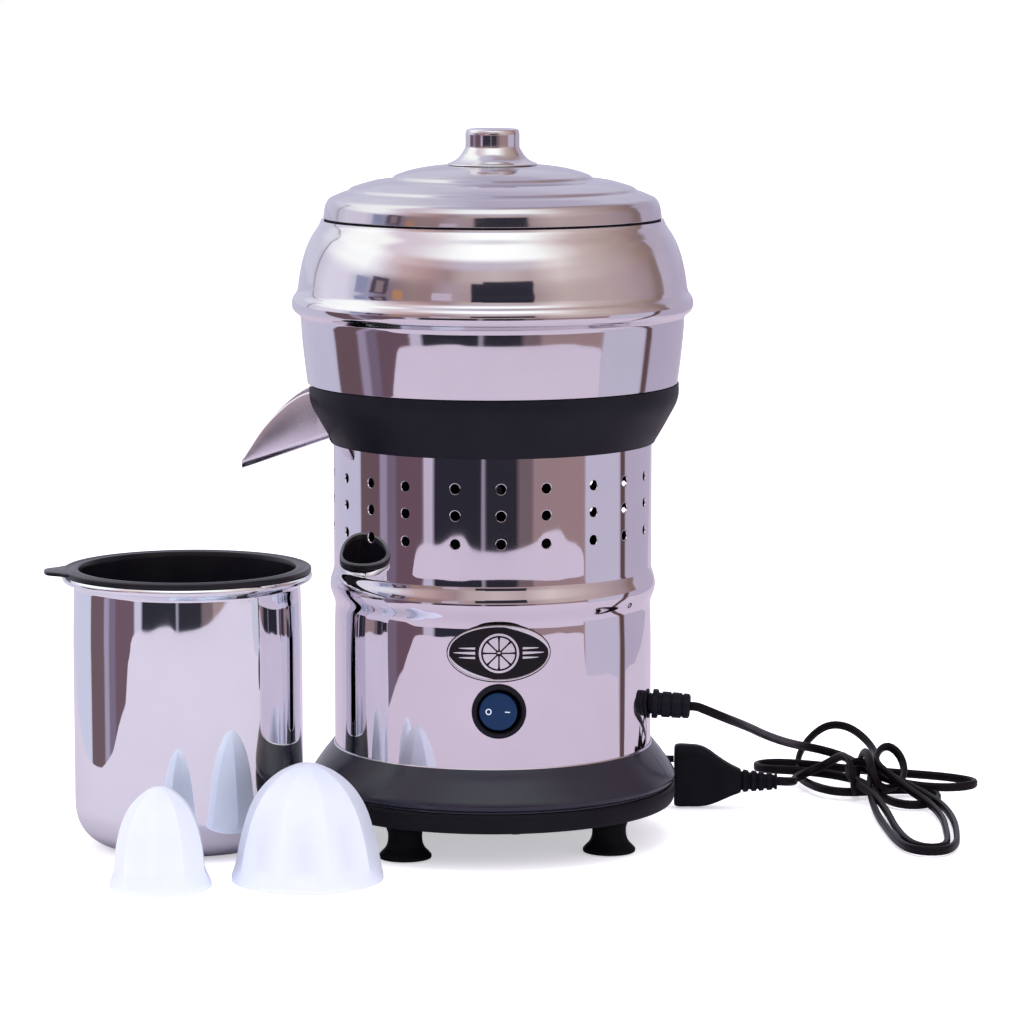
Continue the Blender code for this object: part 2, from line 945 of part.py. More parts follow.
turned(
    "lid_shell",
    [
        (2.6, LID_TOP),
        (25.6, LID_TOP),
        (41.6, 377.7),
        (54.5, 374.4),
        (59.5, 371.6),
        (67.0, 370.9),
        (79.0, 367.6),
        (84.5, 364.4),
        (91.6, 361.3),
        (93.4, 358.0),
        (94.2, 353.0),
        (94.6, BOWL_RIM + 0.3),
        (92.1, BOWL_RIM + 0.3),
        (92.1, 343.5),
        (91.0, 343.5),
        (91.0, 352.0),
        (91.8, 357.6),
        (90.4, 360.2),
        (83.6, 363.0),
        (78.4, 366.2),
        (58.9, 370.2),
        (53.8, 373.0),
        (41.3, 376.2),
        (25.0, 378.2),
        (2.6, 378.2),
    ],
    N_SHELL,
    SPUN,
    LID,
)
turned(
    "lid_knob",
    [
        (2.6, LID_TOP + 0.3),
        (25.3, LID_TOP + 0.3),
        (24.4, 381.2),
        (19.6, 384.3),
        (16.6, 388.0),
        (15.1, 388.8),
        (15.1, 399.0),
        (14.1, TOTAL_H),
        (0.0, TOTAL_H),
        (0.0, 392.5),
        (2.6, 392.5),
    ],
    N_MID,
    SPUN,
    LID,
)
turned(
    "lid_knob_screw",
    [
        (0.0, 375.0),
        (4.4, 375.0),
        (4.4, 377.9),
        (2.1, 377.9),
        (2.1, 391.5),
        (0.0, 391.5),
    ],
    8,
    ZINC,
    LID,
)

# ---------------------------------------------------------------- jug and strainer

turned(
    "jug",
    [
        (0.0, 0.0),
        (40.5, 0.0),
        (52.5, 3.3),
        (60.2, 10.2),
        (63.6, 18.6),
        (JUG_R, 27.0),
        (JUG_R, 146.9),
        (66.0, 149.0),
        (69.2, 149.7),
        (70.0, 151.6),
        (69.2, JUG_H),
        (63.0, JUG_H),
        (62.9, 149.4),
        (62.9, 27.3),
        (62.3, 19.0),
        (59.1, 11.1),
        (51.9, 4.6),
        (40.3, 1.3),
        (0.0, 1.3),
    ],
    28,
    STEEL,
    JUG,
)
strainer = turned(
    "strainer",
    [
        (69.4, JUG_H + 0.3),
        (69.4, 156.0),
        (68.6, 156.6),
        (60.6, 156.6),
        (58.6, 109.9),
        (50.0, 109.9),
        (50.0, 108.4),
        (60.0, 108.4),
        (61.4, JUG_H + 0.3),
    ],
    28,
    BLACK,
    STRAINER,
)
tab = prism_bmesh([(62.0, -19.0), (69.0, -16.0), (77.6, -7.0), (79.6, 0.0), (77.6, 7.0), (69.0, 16.0), (62.0, 19.0)], 154.1, 155.8)
bmesh.ops.rotate(
    tab,
    cent=(0, 0, 0),
    matrix=Matrix.Rotation(math.radians(TAB_BEARING), 3, "Z"),
    verts=tab.verts,
)
boolean(strainer, cutter("add_tab", tab, STRAINER), "UNION")
turned(
    "strainer_mesh",
    [(0.0, 110.2), (57.8, 110.2), (57.8, 111.0), (0.0, 111.0)],
    24,
    ZINC,
    STRAINER,
)

# ---------------------------------------------------------------- reamers


def reamer_bmesh(outer, inner, ridges, depth):
    """A ribbed dome with a wall, and a hub with a blind socket for the spindle.

    outer runs from the crown down to the rim. Between ridges it is drawn in by
    the depth, less towards the crown. inner runs from the rim up to the hub.
    """
    steps = ridges * 2
    bm = bmesh.new()
    rings = []
    for index, (r, z) in enumerate(outer + inner):
        if r == 0.0:
            rings.append([bm.verts.new((0, 0, z))])
            continue
        ring = []
        for k in range(steps):
            a = math.pi * k / ridges
            drawn = 1.0 - depth if k % 2 and index < len(outer) - 2 else 1.0
            ring.append(bm.verts.new((r * drawn * math.cos(a), r * drawn * math.sin(a), z)))
        rings.append(ring)
    for a, b in zip(rings, rings[1:]):
        for k in range(steps):
            n = (k + 1) % steps
            if len(a) == 1:
                bm.faces.new([a[0], b[k], b[n]])
            elif len(b) == 1:
                bm.faces.new([a[k], a[n], b[0]])
            else:
                bm.faces.new([a[k], a[n], b[n], b[k]])
    return bm


large_outer = [
    (0.0, 63.5),
    (8.5, 62.2),
    (16.0, 58.2),
    (24.6, 50.4),
    (31.6, 40.0),
    (36.9, 24.0),
    (39.8, 10.0),
    (41.1, 3.0),
    (41.1, 0.0),
]
large_inner = [
    (38.6, 0.0),
    (38.2, 3.0),
    (34.0, 24.0),
    (28.6, 39.0),
    (21.6, 48.4),
    (9.6, 57.0),
    (9.6, 2.5),
    (5.9, 2.5),
    (5.9, 44.0),
    (0.0, 44.0),
]
finish_mesh(
    "reamer_large", reamer_bmesh(large_outer, large_inner, 9, 0.035), WHITE, LARGE, sharp=14.0
)
small_outer = [
    (0.0, 54.6),
    (6.0, 53.2),
    (11.0, 49.6),
    (16.4, 43.4),
    (21.0, 33.6),
    (24.0, 21.6),
    (25.2, 9.0),
    (27.4, 1.5),
    (27.4, 0.0),
]
small_inner = [
    (23.0, 0.0),
    (21.8, 9.0),
    (20.6, 21.6),
    (18.0, 32.4),
    (13.4, 41.0),
    (9.6, 45.0),
    (9.6, 2.5),
    (5.9, 2.5),
    (5.9, 36.0),
    (0.0, 36.0),
]
finish_mesh(
    "reamer_small", reamer_bmesh(small_outer, small_inner, 9, 0.035), WHITE, SMALL, sharp=14.0
)

# ---------------------------------------------------------------- cord and plug

gland_tip = gland_from + gland_dir * (112.2 + 0.3)
LEAD_ROUTE = [
    tuple(gland_tip),
    tuple(gland_tip + gland_dir * 8.0),
    (131.0, -12.0, 66.0),
    (146.0, 27.0, 53.0),
    (159.5, 62.0, 42.0),
    (172.0, 94.2, 33.0),
]
tube("cord_lead", smooth_route(LEAD_ROUTE, 8.0), CORD_R, CORD, SET)

HANK_OUTLINE = [
    (199.5, 81.0),
    (213.0, 30.0),
    (214.0, -30.0),
    (217.0, -70.0),
    (227.0, -83.0),
    (243.0, -85.0),
    (258.0, -70.0),
    (268.0, -30.0),
    (273.0, 28.0),
    (284.0, 66.0),
    (299.0, 86.0),
    (302.0, 104.0),
    (290.0, 124.0),
    (268.0, 142.0),
    (248.0, 164.0),
    (214.0, 174.0),
    (182.0, 171.0),
    (157.0, 160.0),
    (151.0, 130.0),
    (155.0, 104.5),
]
finish_mesh("cord_hank", prism_bmesh(HANK_OUTLINE, 0.0, 36.0), CORD, SET)

plug_face = Vector((109.2, 73.5, 18.5))
plug_end = Vector((169.6, 67.8, 15.4))
plug_out = (plug_end - plug_face).normalized()
TAIL_ROUTE = [
    tuple(plug_end + plug_out * 0.5),
    tuple(plug_end + plug_out * 4.0),
    (177.6, 70.0, 14.0),
    (180.6, 77.6, 13.2),
    (181.8, 88.6, 12.0),
]
tube("cord_tail", smooth_route(TAIL_ROUTE, 6.0), CORD_R, CORD, SET)


def plug_bmesh():
    """A flat two-pin plug on its edge, lofted through eight-sided sections."""
    along = (plug_end - plug_face) * Vector((1, 1, 0))
    along.normalize()
    side = Vector((-along.y, along.x, 0.0))
    # distance from the pin face, half thickness, lowest and highest
    sections = [
        (0.0, 6.6, 1.2, 35.6),
        (2.0, 7.6, 0.0, 37.0),
        (15.0, 7.6, 0.0, 36.4),
        (24.0, 7.4, 2.2, 31.0),
        (33.0, 6.6, 6.0, 25.4),
        (40.0, 5.6, 8.6, 21.8),
        (60.4, 4.6, 10.4, 19.8),
    ]
    bm = bmesh.new()
    loops = []
    for out, half, low, high in sections:
        chamfer = min(4.0, (high - low) * 0.3, half * 0.55)
        loop = []
        for s, z in (
            (-half, low + chamfer),
            (-half + chamfer, low),
            (half - chamfer, low),
            (half, low + chamfer),
            (half, high - chamfer),
            (half - chamfer, high),
            (-half + chamfer, high),
            (-half, high - chamfer),
        ):
            place = Vector((plug_face.x, plug_face.y, 0)) + along * out + side * s
            loop.append(bm.verts.new((place.x, place.y, z)))
        loops.append(loop)
    for a, b in zip(loops, loops[1:]):
        for i in range(8):
            n = (i + 1) % 8
            bm.faces.new([a[i], a[n], b[n], b[i]])
    bm.faces.new(loops[0])
    bm.faces.new(loops[-1])
    return bm


finish_mesh("plug_body", plug_bmesh(), CORD, SET)
pin_dir = (plug_face - plug_end) * Vector((1, 1, 0))
for name, z in (("plug_pin_1", 28.0), ("plug_pin_2", 9.0)):
    start = Vector((plug_face.x, plug_face.y, z))
    turned_along(
        name,
        [(0.0, 0.3), (2.0, 0.3), (2.0, 17.5), (1.2, 19.0), (0.0, 19.0)],
        8,
        BRASS,
        SET,
        pin_dir,
        start,
    )
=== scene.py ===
"""Electric citrus juicer set: machine, jug with strainer, two reamers and cord.

Every length is in millimetres about the machine's own vertical axis until a
mesh is made, which is in metres in the row frame.
"""

import math

import bmesh
import bpy
from mathutils import Matrix, Vector


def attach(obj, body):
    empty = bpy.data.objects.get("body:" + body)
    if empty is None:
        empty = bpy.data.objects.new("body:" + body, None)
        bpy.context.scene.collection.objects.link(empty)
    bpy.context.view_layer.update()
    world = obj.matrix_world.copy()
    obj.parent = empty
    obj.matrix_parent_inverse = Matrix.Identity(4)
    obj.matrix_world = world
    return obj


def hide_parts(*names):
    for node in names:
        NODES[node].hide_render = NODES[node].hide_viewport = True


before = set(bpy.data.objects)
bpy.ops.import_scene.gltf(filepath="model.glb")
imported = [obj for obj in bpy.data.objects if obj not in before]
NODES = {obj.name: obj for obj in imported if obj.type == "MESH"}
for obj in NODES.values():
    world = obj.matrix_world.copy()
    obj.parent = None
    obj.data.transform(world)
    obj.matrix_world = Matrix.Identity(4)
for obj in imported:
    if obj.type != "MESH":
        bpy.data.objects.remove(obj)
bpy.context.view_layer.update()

MM = 0.001
AX, AY = 69.4, 22.4


def at(x, y, z=0.0):
    """A machine-frame point in millimetres, as metres in the row frame."""
    return Vector(((x + AX) * MM, (y + AY) * MM, z * MM))


def bearing_vector(bearing):
    a = math.radians(bearing)
    return Vector((math.sin(a), -math.cos(a), 0.0))


# ------------------------------------------------------------------ materials


class Graph:
    """Short names for building a node tree."""

    def __init__(self, tree):
        self.tree = tree
        self.x = -1400

    def node(self, kind, **settings):
        made = self.tree.nodes.new(kind)
        self.x += 40
        made.location = (self.x, 0)
        for key, value in settings.items():
            setattr(made, key, value)
        return made

    def link(self, a, b):
        self.tree.links.new(a, b)

    def put(self, value, socket):
        if isinstance(value, bpy.types.NodeSocket):
            self.link(value, socket)
        else:
            socket.default_value = value

    def math(self, operation, a, b=0.0, c=None, clamp=False):
        made = self.node("ShaderNodeMath", operation=operation, use_clamp=clamp)
        self.put(a, made.inputs[0])
        self.put(b, made.inputs[1])
        if c is not None:
            self.put(c, made.inputs[2])
        return made.outputs[0]

    def span(self, value, low, high, to_low, to_high, smooth=False):
        made = self.node("ShaderNodeMapRange", clamp=True)
        if smooth:
            made.interpolation_type = "SMOOTHSTEP"
        self.put(value, made.inputs[0])
        for index, number in zip((1, 2, 3, 4), (low, high, to_low, to_high)):
            made.inputs[index].default_value = number
        return made.outputs[0]

    def noise(self, vector, scale, detail=2.0, rough=0.5, distortion=0.0):
        made = self.node("ShaderNodeTexNoise")
        if vector is not None:
            self.link(vector, made.inputs["Vector"])
        made.inputs["Scale"].default_value = scale
        made.inputs["Detail"].default_value = detail
        made.inputs["Roughness"].default_value = rough
        made.inputs["Distortion"].default_value = distortion
        return made.outputs["Fac"]

    def mix(self, factor, a, b):
        made = self.node("ShaderNodeMix", data_type="RGBA")
        self.put(factor, made.inputs[0])
        for value, socket in ((a, made.inputs[6]), (b, made.inputs[7])):
            if isinstance(value, tuple):
                value = (*value[:3], 1.0)
            self.put(value, socket)
        return made.outputs[2]

    def scaled(self, vector, x, y, z):
        made = self.node("ShaderNodeVectorMath", operation="MULTIPLY")
        self.link(vector, made.inputs[0])
        made.inputs[1].default_value = (x, y, z)
        return made.outputs[0]

    def ramp(self, value, stops, interpolation="LINEAR"):
        made = self.node("ShaderNodeValToRGB")
        made.color_ramp.interpolation = interpolation
        elements = made.color_ramp.elements
        while len(elements) > 1:
            elements.remove(elements[-1])
        elements[0].position = stops[0][0]
        elements[0].color = (*stops[0][1], 1.0)
        for place, colour in stops[1:]:
            element = elements.new(place)
            element.color = (*colour, 1.0)
        self.link(value, made.inputs[0])
        return made.outputs[0]

    def bump(self, height, distance, strength=1.0, normal=None):
        made = self.node("ShaderNodeBump")
        self.put(height, made.inputs["Height"])
        made.inputs["Distance"].default_value = distance
        made.inputs["Strength"].default_value = strength
        if normal is not None:
            self.link(normal, made.inputs["Normal"])
        return made.outputs["Normal"]


def new_material(name):
    made = bpy.data.materials.new(name)
    made.use_nodes = True
    graph = Graph(made.node_tree)
    return made, graph, made.node_tree.nodes["Principled BSDF"]


def coords(graph):
    return graph.node("ShaderNodeTexCoord").outputs["Object"]


def turned_coords(graph):
    """(radius, height, 0) about the object's Z, for lines left by a lathe."""
    split = graph.node("ShaderNodeSeparateXYZ")
    graph.link(coords(graph), split.inputs[0])
    square = graph.math(
        "ADD",
        graph.math("MULTIPLY", split.outputs[0], split.outputs[0]),
        graph.math("MULTIPLY", split.outputs[1], split.outputs[1]),
    )
    radius = graph.math("SQRT", square)
    join = graph.node("ShaderNodeCombineXYZ")
    graph.link(radius, join.inputs[0])
    graph.link(split.outputs[2], join.inputs[1])
    return join.outputs[0]


def mirror_steel(name, tint=(0.80, 0.765, 0.82), rough=0.035, wave=0.00013):
    made, g, shader = new_material(name)
    place = coords(g)
    smudge = g.noise(place, 26.0, 4.0, 0.6)
    tone = g.span(smudge, 0.35, 0.75, 0.0, 1.0)
    g.link(g.mix(tone, tint, tuple(c * 0.955 for c in tint)), shader.inputs["Base Color"])
    lines = g.noise(g.scaled(place, 900.0, 900.0, 9.0), 1.0, 2.0)
    g.link(
        g.math("ADD", g.span(smudge, 0.3, 0.8, rough * 0.6, rough * 1.3), g.math("MULTIPLY", lines, 0.010)),
        shader.inputs["Roughness"],
    )
    shader.inputs["Metallic"].default_value = 1.0
    swell = g.noise(g.scaled(place, 1.0, 1.0, 0.55), 17.0, 1.0, 0.35)
    dent = g.noise(g.scaled(place, 1.0, 1.0, 0.8), 46.0, 1.0, 0.4)
    height = g.math("ADD", g.math("MULTIPLY", swell, 1.0), g.math("MULTIPLY", dent, 0.16))
    g.link(g.bump(height, wave), shader.inputs["Normal"])
    return made


def spun_metal(name, tint=(0.80, 0.772, 0.815), rough=0.10, ring=0.0000035, wave=0.00010, pitch=620.0):
    """Polished metal with the fine rings that a spinning lathe leaves."""
    made, g, shader = new_material(name)
    place = coords(g)
    turned = turned_coords(g)
    smudge = g.noise(place, 22.0, 4.0, 0.62)
    rings = g.noise(turned, pitch, 3.0, 0.65)
    tone = g.span(g.math("ADD", smudge, g.math("MULTIPLY", rings, 0.35)), 0.45, 1.0, 0.0, 1.0)
    g.link(g.mix(tone, tint, tuple(c * 0.93 for c in tint)), shader.inputs["Base Color"])
    g.link(
        g.math("ADD", g.span(smudge, 0.3, 0.8, rough * 0.8, rough * 1.35), g.math("MULTIPLY", rings, 0.03)),
        shader.inputs["Roughness"],
    )
    shader.inputs["Metallic"].default_value = 1.0
    swell = g.noise(place, 19.0, 1.0, 0.4)
    first = g.bump(swell, wave)
    g.link(g.bump(rings, ring, 1.0, first), shader.inputs["Normal"])
    return made


def moulded(name, colour, rough, grain=0.00003, pitch=1100.0, specular=0.5, patch=0.25):
    """Moulded plastic or rubber: a fine grain, and a finish that is never even."""
    made, g, shader = new_material(name)
    place = coords(g)
    cloud = g.noise(place, 38.0, 3.0, 0.6)
    fine = g.noise(place, pitch, 2.0, 0.6)
    dust = g.span(g.noise(place, 310.0, 3.0, 0.7), 0.60, 0.80, 0.0, 1.0)
    warm = tuple(min(1.0, c * (1.0 + patch) + 0.0008) for c in colour)
    dusty = tuple(min(1.0, c * 1.15 + 0.003) for c in colour)
    base = g.mix(g.span(cloud, 0.3, 0.7, 0.0, 1.0), colour, warm)
    g.link(g.mix(g.math("MULTIPLY", dust, 0.35), base, dusty), shader.inputs["Base Color"])
    g.link(
        g.math("ADD", g.span(cloud, 0.25, 0.75, rough * 0.88, rough * 1.14), g.math("MULTIPLY", fine, 0.06)),
        shader.inputs["Roughness"],
    )
    shader.inputs["Specular IOR Level"].default_value = specular
    g.link(g.bump(fine, grain), shader.inputs["Normal"])
    return made


def translucent_white(name):
    made, g, shader = new_material(name)
    place = coords(g)
    cloud = g.noise(place, 55.0, 3.0, 0.55)
    fine = g.noise(place, 820.0, 2.0, 0.6)
    g.link(
        g.mix(g.span(cloud, 0.3, 0.7, 0.0, 1.0), (0.665, 0.705, 0.85), (0.68, 0.72, 0.86)),
        shader.inputs["Base Color"],
    )
    g.link(g.span(cloud, 0.25, 0.75, 0.30, 0.34), shader.inputs["Roughness"])
    shader.inputs["Subsurface Weight"].default_value = 0.35
    shader.inputs["Subsurface Radius"].default_value = (0.9, 0.95, 1.0)
    shader.inputs["Subsurface Scale"].default_value = 0.006
    shader.inputs["Specular IOR Level"].default_value = 0.5
    g.link(g.bump(fine, 0.000012), shader.inputs["Normal"])
    return made


def cast_metal(name, colour, rough, metal=0.95, pitch=240.0, grain=0.00012):
    made, g, shader = new_material(name)
    place = coords(g)
    cloud = g.noise(place, 42.0, 4.0, 0.65)
    fine = g.noise(place, pitch, 3.0, 0.65)
    g.link(
        g.mix(g.span(cloud, 0.3, 0.75, 0.0, 1.0), colour, tuple(c * 0.72 for c in colour)),
        shader.inputs["Base Color"],
    )
    g.link(g.span(fine, 0.2, 0.8, rough * 0.8, min(1.0, rough * 1.25)), shader.inputs["Roughness"])
    shader.inputs["Metallic"].default_value = metal
    g.link(g.bump(fine, grain), shader.inputs["Normal"])
    return made


def wound_copper(name):
    made, g, shader = new_material(name)
    turned = turned_coords(g)
    wires = g.noise(g.scaled(turned, 1.0, 1.0, 1.0), 900.0, 1.0, 0.4)
    g.link(
        g.mix(g.span(wires, 0.3, 0.7, 0.0, 1.0), (0.30, 0.10, 0.035), (0.72, 0.33, 0.14)),
        shader.inputs["Base Color"],
    )
    g.link(g.span(wires, 0.3, 0.7, 0.45, 0.28), shader.inputs["Roughness"])
    shader.inputs["Metallic"].default_value = 0.85
    g.link(g.bump(wires, 0.0003), shader.inputs["Normal"])
    return made


STEEL = mirror_steel("polished_steel_mirror", (0.80, 0.765, 0.82), 0.022, 0.00010)
JUG_STEEL = mirror_steel("polished_steel_jug", (0.93, 0.97, 1.0), 0.026, 0.00016)
SPUN = spun_metal("spun_bowl", rough=0.045, ring=0.0000018)
LID = spun_metal("spun_lid", (0.70, 0.67, 0.72), 0.085, 0.0000060, 0.00004, 520.0)
KNOB = spun_metal("turned_knob", (0.79, 0.765, 0.80), 0.10, 0.0000030, 0.00002, 900.0)
SPOUT = spun_metal("satin_spout", (0.96, 0.93, 1.0), 0.24, 0.0000020, 0.00008, 500.0)
BLACK = moulded("black_satin_plastic", (0.0055, 0.0050, 0.0095), 0.42, specular=0.14)
BASE_BLACK = moulded("black_base_plastic", (0.0100, 0.0098, 0.0200), 0.18, 0.000006, specular=0.50)
COVER_BLACK = moulded("black_cover_plastic", (0.0045, 0.0045, 0.0070), 0.40, 0.00003, specular=0.11)
STRAINER_BLACK = moulded("black_strainer_plastic", (0.0060, 0.0055, 0.0085), 0.26, 0.000012, specular=0.30)
RUBBER = moulded("black_rubber_foot", (0.0028, 0.0027, 0.0040), 0.48, 0.00005, 700.0, 0.06)
CORD = moulded("black_cord_sheath", (0.0036, 0.0022, 0.0038), 0.32, 0.00002, 900.0, 0.12)
PLUG = moulded("black_plug_sheath", (0.0045, 0.0042, 0.0070), 0.42, 0.00006, 700.0, 0.09)
ENAMEL = moulded("badge_enamel", (0.0055, 0.0045, 0.0060), 0.16, 0.000003, 500.0, 0.14)
BLUE = moulded("switch_blue_plastic", (0.0028, 0.0205, 0.0700), 0.20, 0.000006, 700.0, 0.20, 0.10)
MARK = moulded("switch_mark_paint", (0.62, 0.70, 0.80), 0.45, 0.00001)
SILVER = spun_metal("badge_silver", (0.86, 0.85, 0.88), 0.16, 0.0000010, 0.00001, 500.0)
WHITE = translucent_white("reamer_white_plastic")
BRASS = cast_metal("nickel_brass_pin", (0.66, 0.55, 0.36), 0.25, 1.0, 600.0, 0.00001)
IRON = cast_metal("cast_iron_bell", (0.23, 0.23, 0.25), 0.55)
ZINC = cast_metal("zinc_plated_steel", (0.56, 0.56, 0.58), 0.34, 1.0, 420.0, 0.00003)
COPPER = wound_copper("wound_copper")
CREAM = moulded("cream_phenolic", (0.66, 0.63, 0.54), 0.45, 0.00003, 800.0)
INNER = cast_metal("inner_dark_sheet", (0.10, 0.095, 0.105), 0.50, 0.9, 260.0, 0.00004)

# ------------------------------------------------------------------ mesh tools


def catmull(chain, sub):
    """Points along a centripetal Catmull-Rom curve through a chain of vectors."""
    ends = [2 * chain[0] - chain[1], *chain, 2 * chain[-1] - chain[-2]]
    out = []
    for i in range(1, len(ends) - 2):
        a, b, c, d = ends[i - 1 : i + 3]
        t1 = max(1e-6, (b - a).length) ** 0.5
        t2 = t1 + max(1e-6, (c - b).length) ** 0.5
        t3 = t2 + max(1e-6, (d - c).length) ** 0.5
        for k in range(sub):
            t = t1 + (t2 - t1) * k / sub
            p = a * ((t1 - t) / t1) + b * (t / t1)
            q = b * ((t2 - t) / (t2 - t1)) + c * ((t - t1) / (t2 - t1))
            r = c * ((t3 - t) / (t3 - t2)) + d * ((t - t2) / (t3 - t2))
            u = p * ((t2 - t) / t2) + q * (t / t2)
            v = q * ((t3 - t) / (t3 - t1)) + r * ((t - t1) / (t3 - t1))
            out.append(u * ((t2 - t) / (t2 - t1)) + v * ((t - t1) / (t2 - t1)))
    out.append(chain[-1].copy())
    return out


def walked(line, index, cut, step):
    """The place a distance away along a line, and the last point passed."""
    left, k = cut, index
    while 0 <= k + step < len(line):
        gap = (line[k + step] - line[k]).length
        if gap > left + 1e-9:
            return line[k].lerp(line[k + step], left / gap), k
        left -= gap
        k += step
    return line[k].copy(), k


def outline(points, closed=True, sub=6, arc=6):
    """A drawn outline. (r, z) is passed smoothly, and (r, z, f) is a corner with
    a fillet that starts f from it. A closed outline starts at a corner."""
    points = list(points)
    if closed:
        points.append(points[0])
    corner = [len(p) > 2 for p in points]
    corner[0] = corner[-1] = True
    places = [Vector((p[0], p[1])) for p in points]
    line, marks = [places[0]], []
    i = 0
    while i < len(points) - 1:
        j = i + 1
        while not corner[j]:
            j += 1
        chain = places[i : j + 1]
        line += [chain[1]] if len(chain) == 2 else catmull(chain, sub)[1:]
        if j < len(points) - 1 and points[j][2] > 0:
            marks.append((len(line) - 1, points[j][2]))
        i = j
    for index, cut in reversed(marks):
        here = line[index]
        back, low = walked(line, index, cut, -1)
        ahead, high = walked(line, index, cut, 1)
        bend = [
            back * (1 - t) ** 2 + here * 2 * t * (1 - t) + ahead * t * t
            for t in (k / arc for k in range(arc + 1))
        ]
        line = line[:low] + bend + line[high + 1 :]
    if closed:
        line = line[:-1]
    cleaned = [line[0]]
    for p in line[1:]:
        if (p - cleaned[-1]).length > 1e-4:
            cleaned.append(p)
    return [(max(0.0, p.x), p.y) for p in cleaned]


def object_from(name, bm, materials, location=(0, 0, 0), rotation=None, sharp=38.0, scale=MM):
    bmesh.ops.recalc_face_normals(bm, faces=bm.faces)
    bmesh.ops.scale(bm, vec=(scale,) * 3, verts=bm.verts)
    mesh = bpy.data.meshes.new(name)
    bm.to_mesh(mesh)
    bm.free()
    mesh.shade_smooth()
    mesh.set_sharp_from_angle(angle=math.radians(sharp))
    for material in materials if isinstance(materials, (list, tuple)) else [materials]:
        mesh.materials.append(material)
    obj = bpy.data.objects.new(name, mesh)
    bpy.context.scene.collection.objects.link(obj)
    obj.location = location
    if rotation is not None:
        obj.rotation_mode = "QUATERNION"
        obj.rotation_quaternion = rotation
    return obj


def lathe_bmesh(profile, steps=192, closed=True, shape=None):
    """Turns an outline round Z. shape(index, angle) may scale the radius."""
    bm = bmesh.new()
    rings = []
    for index, (r, z) in enumerate(profile):
        if r < 1e-6:
            rings.append([bm.verts.new((0, 0, z))])
            continue
        ring = []
        for k in range(steps):
            a = 2 * math.pi * k / steps
            scale = shape(index, a) if shape else 1.0
            ring.append(bm.verts.new((r * scale * math.cos(a), r * scale * math.sin(a), z)))
        rings.append(ring)
    pairs = list(zip(rings, rings[1:]))
    if closed:
        pairs.append((rings[-1], rings[0]))
    for a, b in pairs:
        if len(a) == 1 and len(b) == 1:
            continue
        for k in range(steps):
            n = (k + 1) % steps
            if len(a) == 1:
                bm.faces.new([a[0], b[n], b[k]])
            elif len(b) == 1:
                bm.faces.new([a[k], a[n], b[0]])
            else:
                bm.faces.new([a[k], a[n], b[n], b[k]])
    return bm


def lathe(name, points, material, body, centre=(0.0, 0.0), steps=192, closed=True, sub=6, replaces=(), direction=None, origin=None, sharp=38.0):
    profile = outline(points, closed, sub)
    rotation = None
    place = at(*centre)
    if direction is not None:
        rotation = direction.normalized().to_track_quat("Z", "Y")
        place = at(origin.x, origin.y, origin.z)
    obj = object_from(name, lathe_bmesh(profile, steps, closed), material, place, rotation, sharp)
    return settle(obj, body, replaces)


def settle(obj, body, replaces=()):
    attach(obj, body)
    if replaces:
        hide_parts(*replaces)
    return obj


def rod_mesh(name, radius, direction, start, length, steps=64):
    bm = bmesh.new()
    bmesh.ops.create_cone(bm, cap_ends=True, segments=steps, radius1=radius, radius2=radius, depth=length)
    turn = direction.normalized().to_track_quat("Z", "Y").to_matrix().to_4x4()
    middle = Vector(start) + direction.normalized() * (length / 2)
    bmesh.ops.transform(bm, matrix=Matrix.Translation(middle) @ turn, verts=bm.verts)
    bmesh.ops.translate(bm, vec=(AX, AY, 0), verts=bm.verts)
    return object_from(name, bm, [])


def cut(obj, *tools):
    """Cuts the tools from the object, applies it, and removes them."""
    for tool in tools:
        modifier = obj.modifiers.new(tool.name, "BOOLEAN")
        modifier.operation = "DIFFERENCE"
        modifier.object = tool
        modifier.solver = "EXACT"
    bake(obj)
    for tool in tools:
        bpy.data.objects.remove(tool, do_unlink=True)
    return obj


def bake(obj, sharp=38.0):
    bpy.context.view_layer.update()
    graph = bpy.context.evaluated_depsgraph_get()
    mesh = bpy.data.meshes.new_from_object(obj.evaluated_get(graph))
    obj.modifiers.clear()
    old = obj.data
    obj.data = mesh
    mesh.name = old.name
    mesh.shade_smooth()
    mesh.set_sharp_from_angle(angle=math.radians(sharp))
    return obj


def prism(name, outline_points, low, high, materials=(), bevel=0.0):
    bm = bmesh.new()
    base = bm.faces.new([bm.verts.new((x + AX, y + AY, low)) for x, y in outline_points])
    grown = bmesh.ops.extrude_face_region(bm, geom=[base])
    moved = [g for g in grown["geom"] if isinstance(g, bmesh.types.BMVert)]
    bmesh.ops.translate(bm, vec=(0, 0, high - low), verts=moved)
    if bevel:
        rim = [e for e in bm.edges if abs(e.verts[0].co.z - e.verts[1].co.z) < 1e-6]
        bmesh.ops.bevel(bm, geom=rim, offset=bevel, segments=3, profile=0.5, affect="EDGES")
    return object_from(name, bm, list(materials))


# ------------------------------------------------------------------ housing

HOUSING_R = 89.5
VENT_TURN = 0.8
VENT_ROWS = (178.2, 193.6, 208.4)
GLAND_BEARING, GLAND_Z, GLAND_DROOP = 82.0, 76.6, 0.06
gland_dir = (bearing_vector(GLAND_BEARING) + Vector((0, 0, -GLAND_DROOP))).normalized()
gland_from = Vector((0, 0, GLAND_Z + GLAND_DROOP * HOUSING_R))


def smooth(t):
    t = min(1.0, max(0.0, t))
    return t * t * (3 - 2 * t)


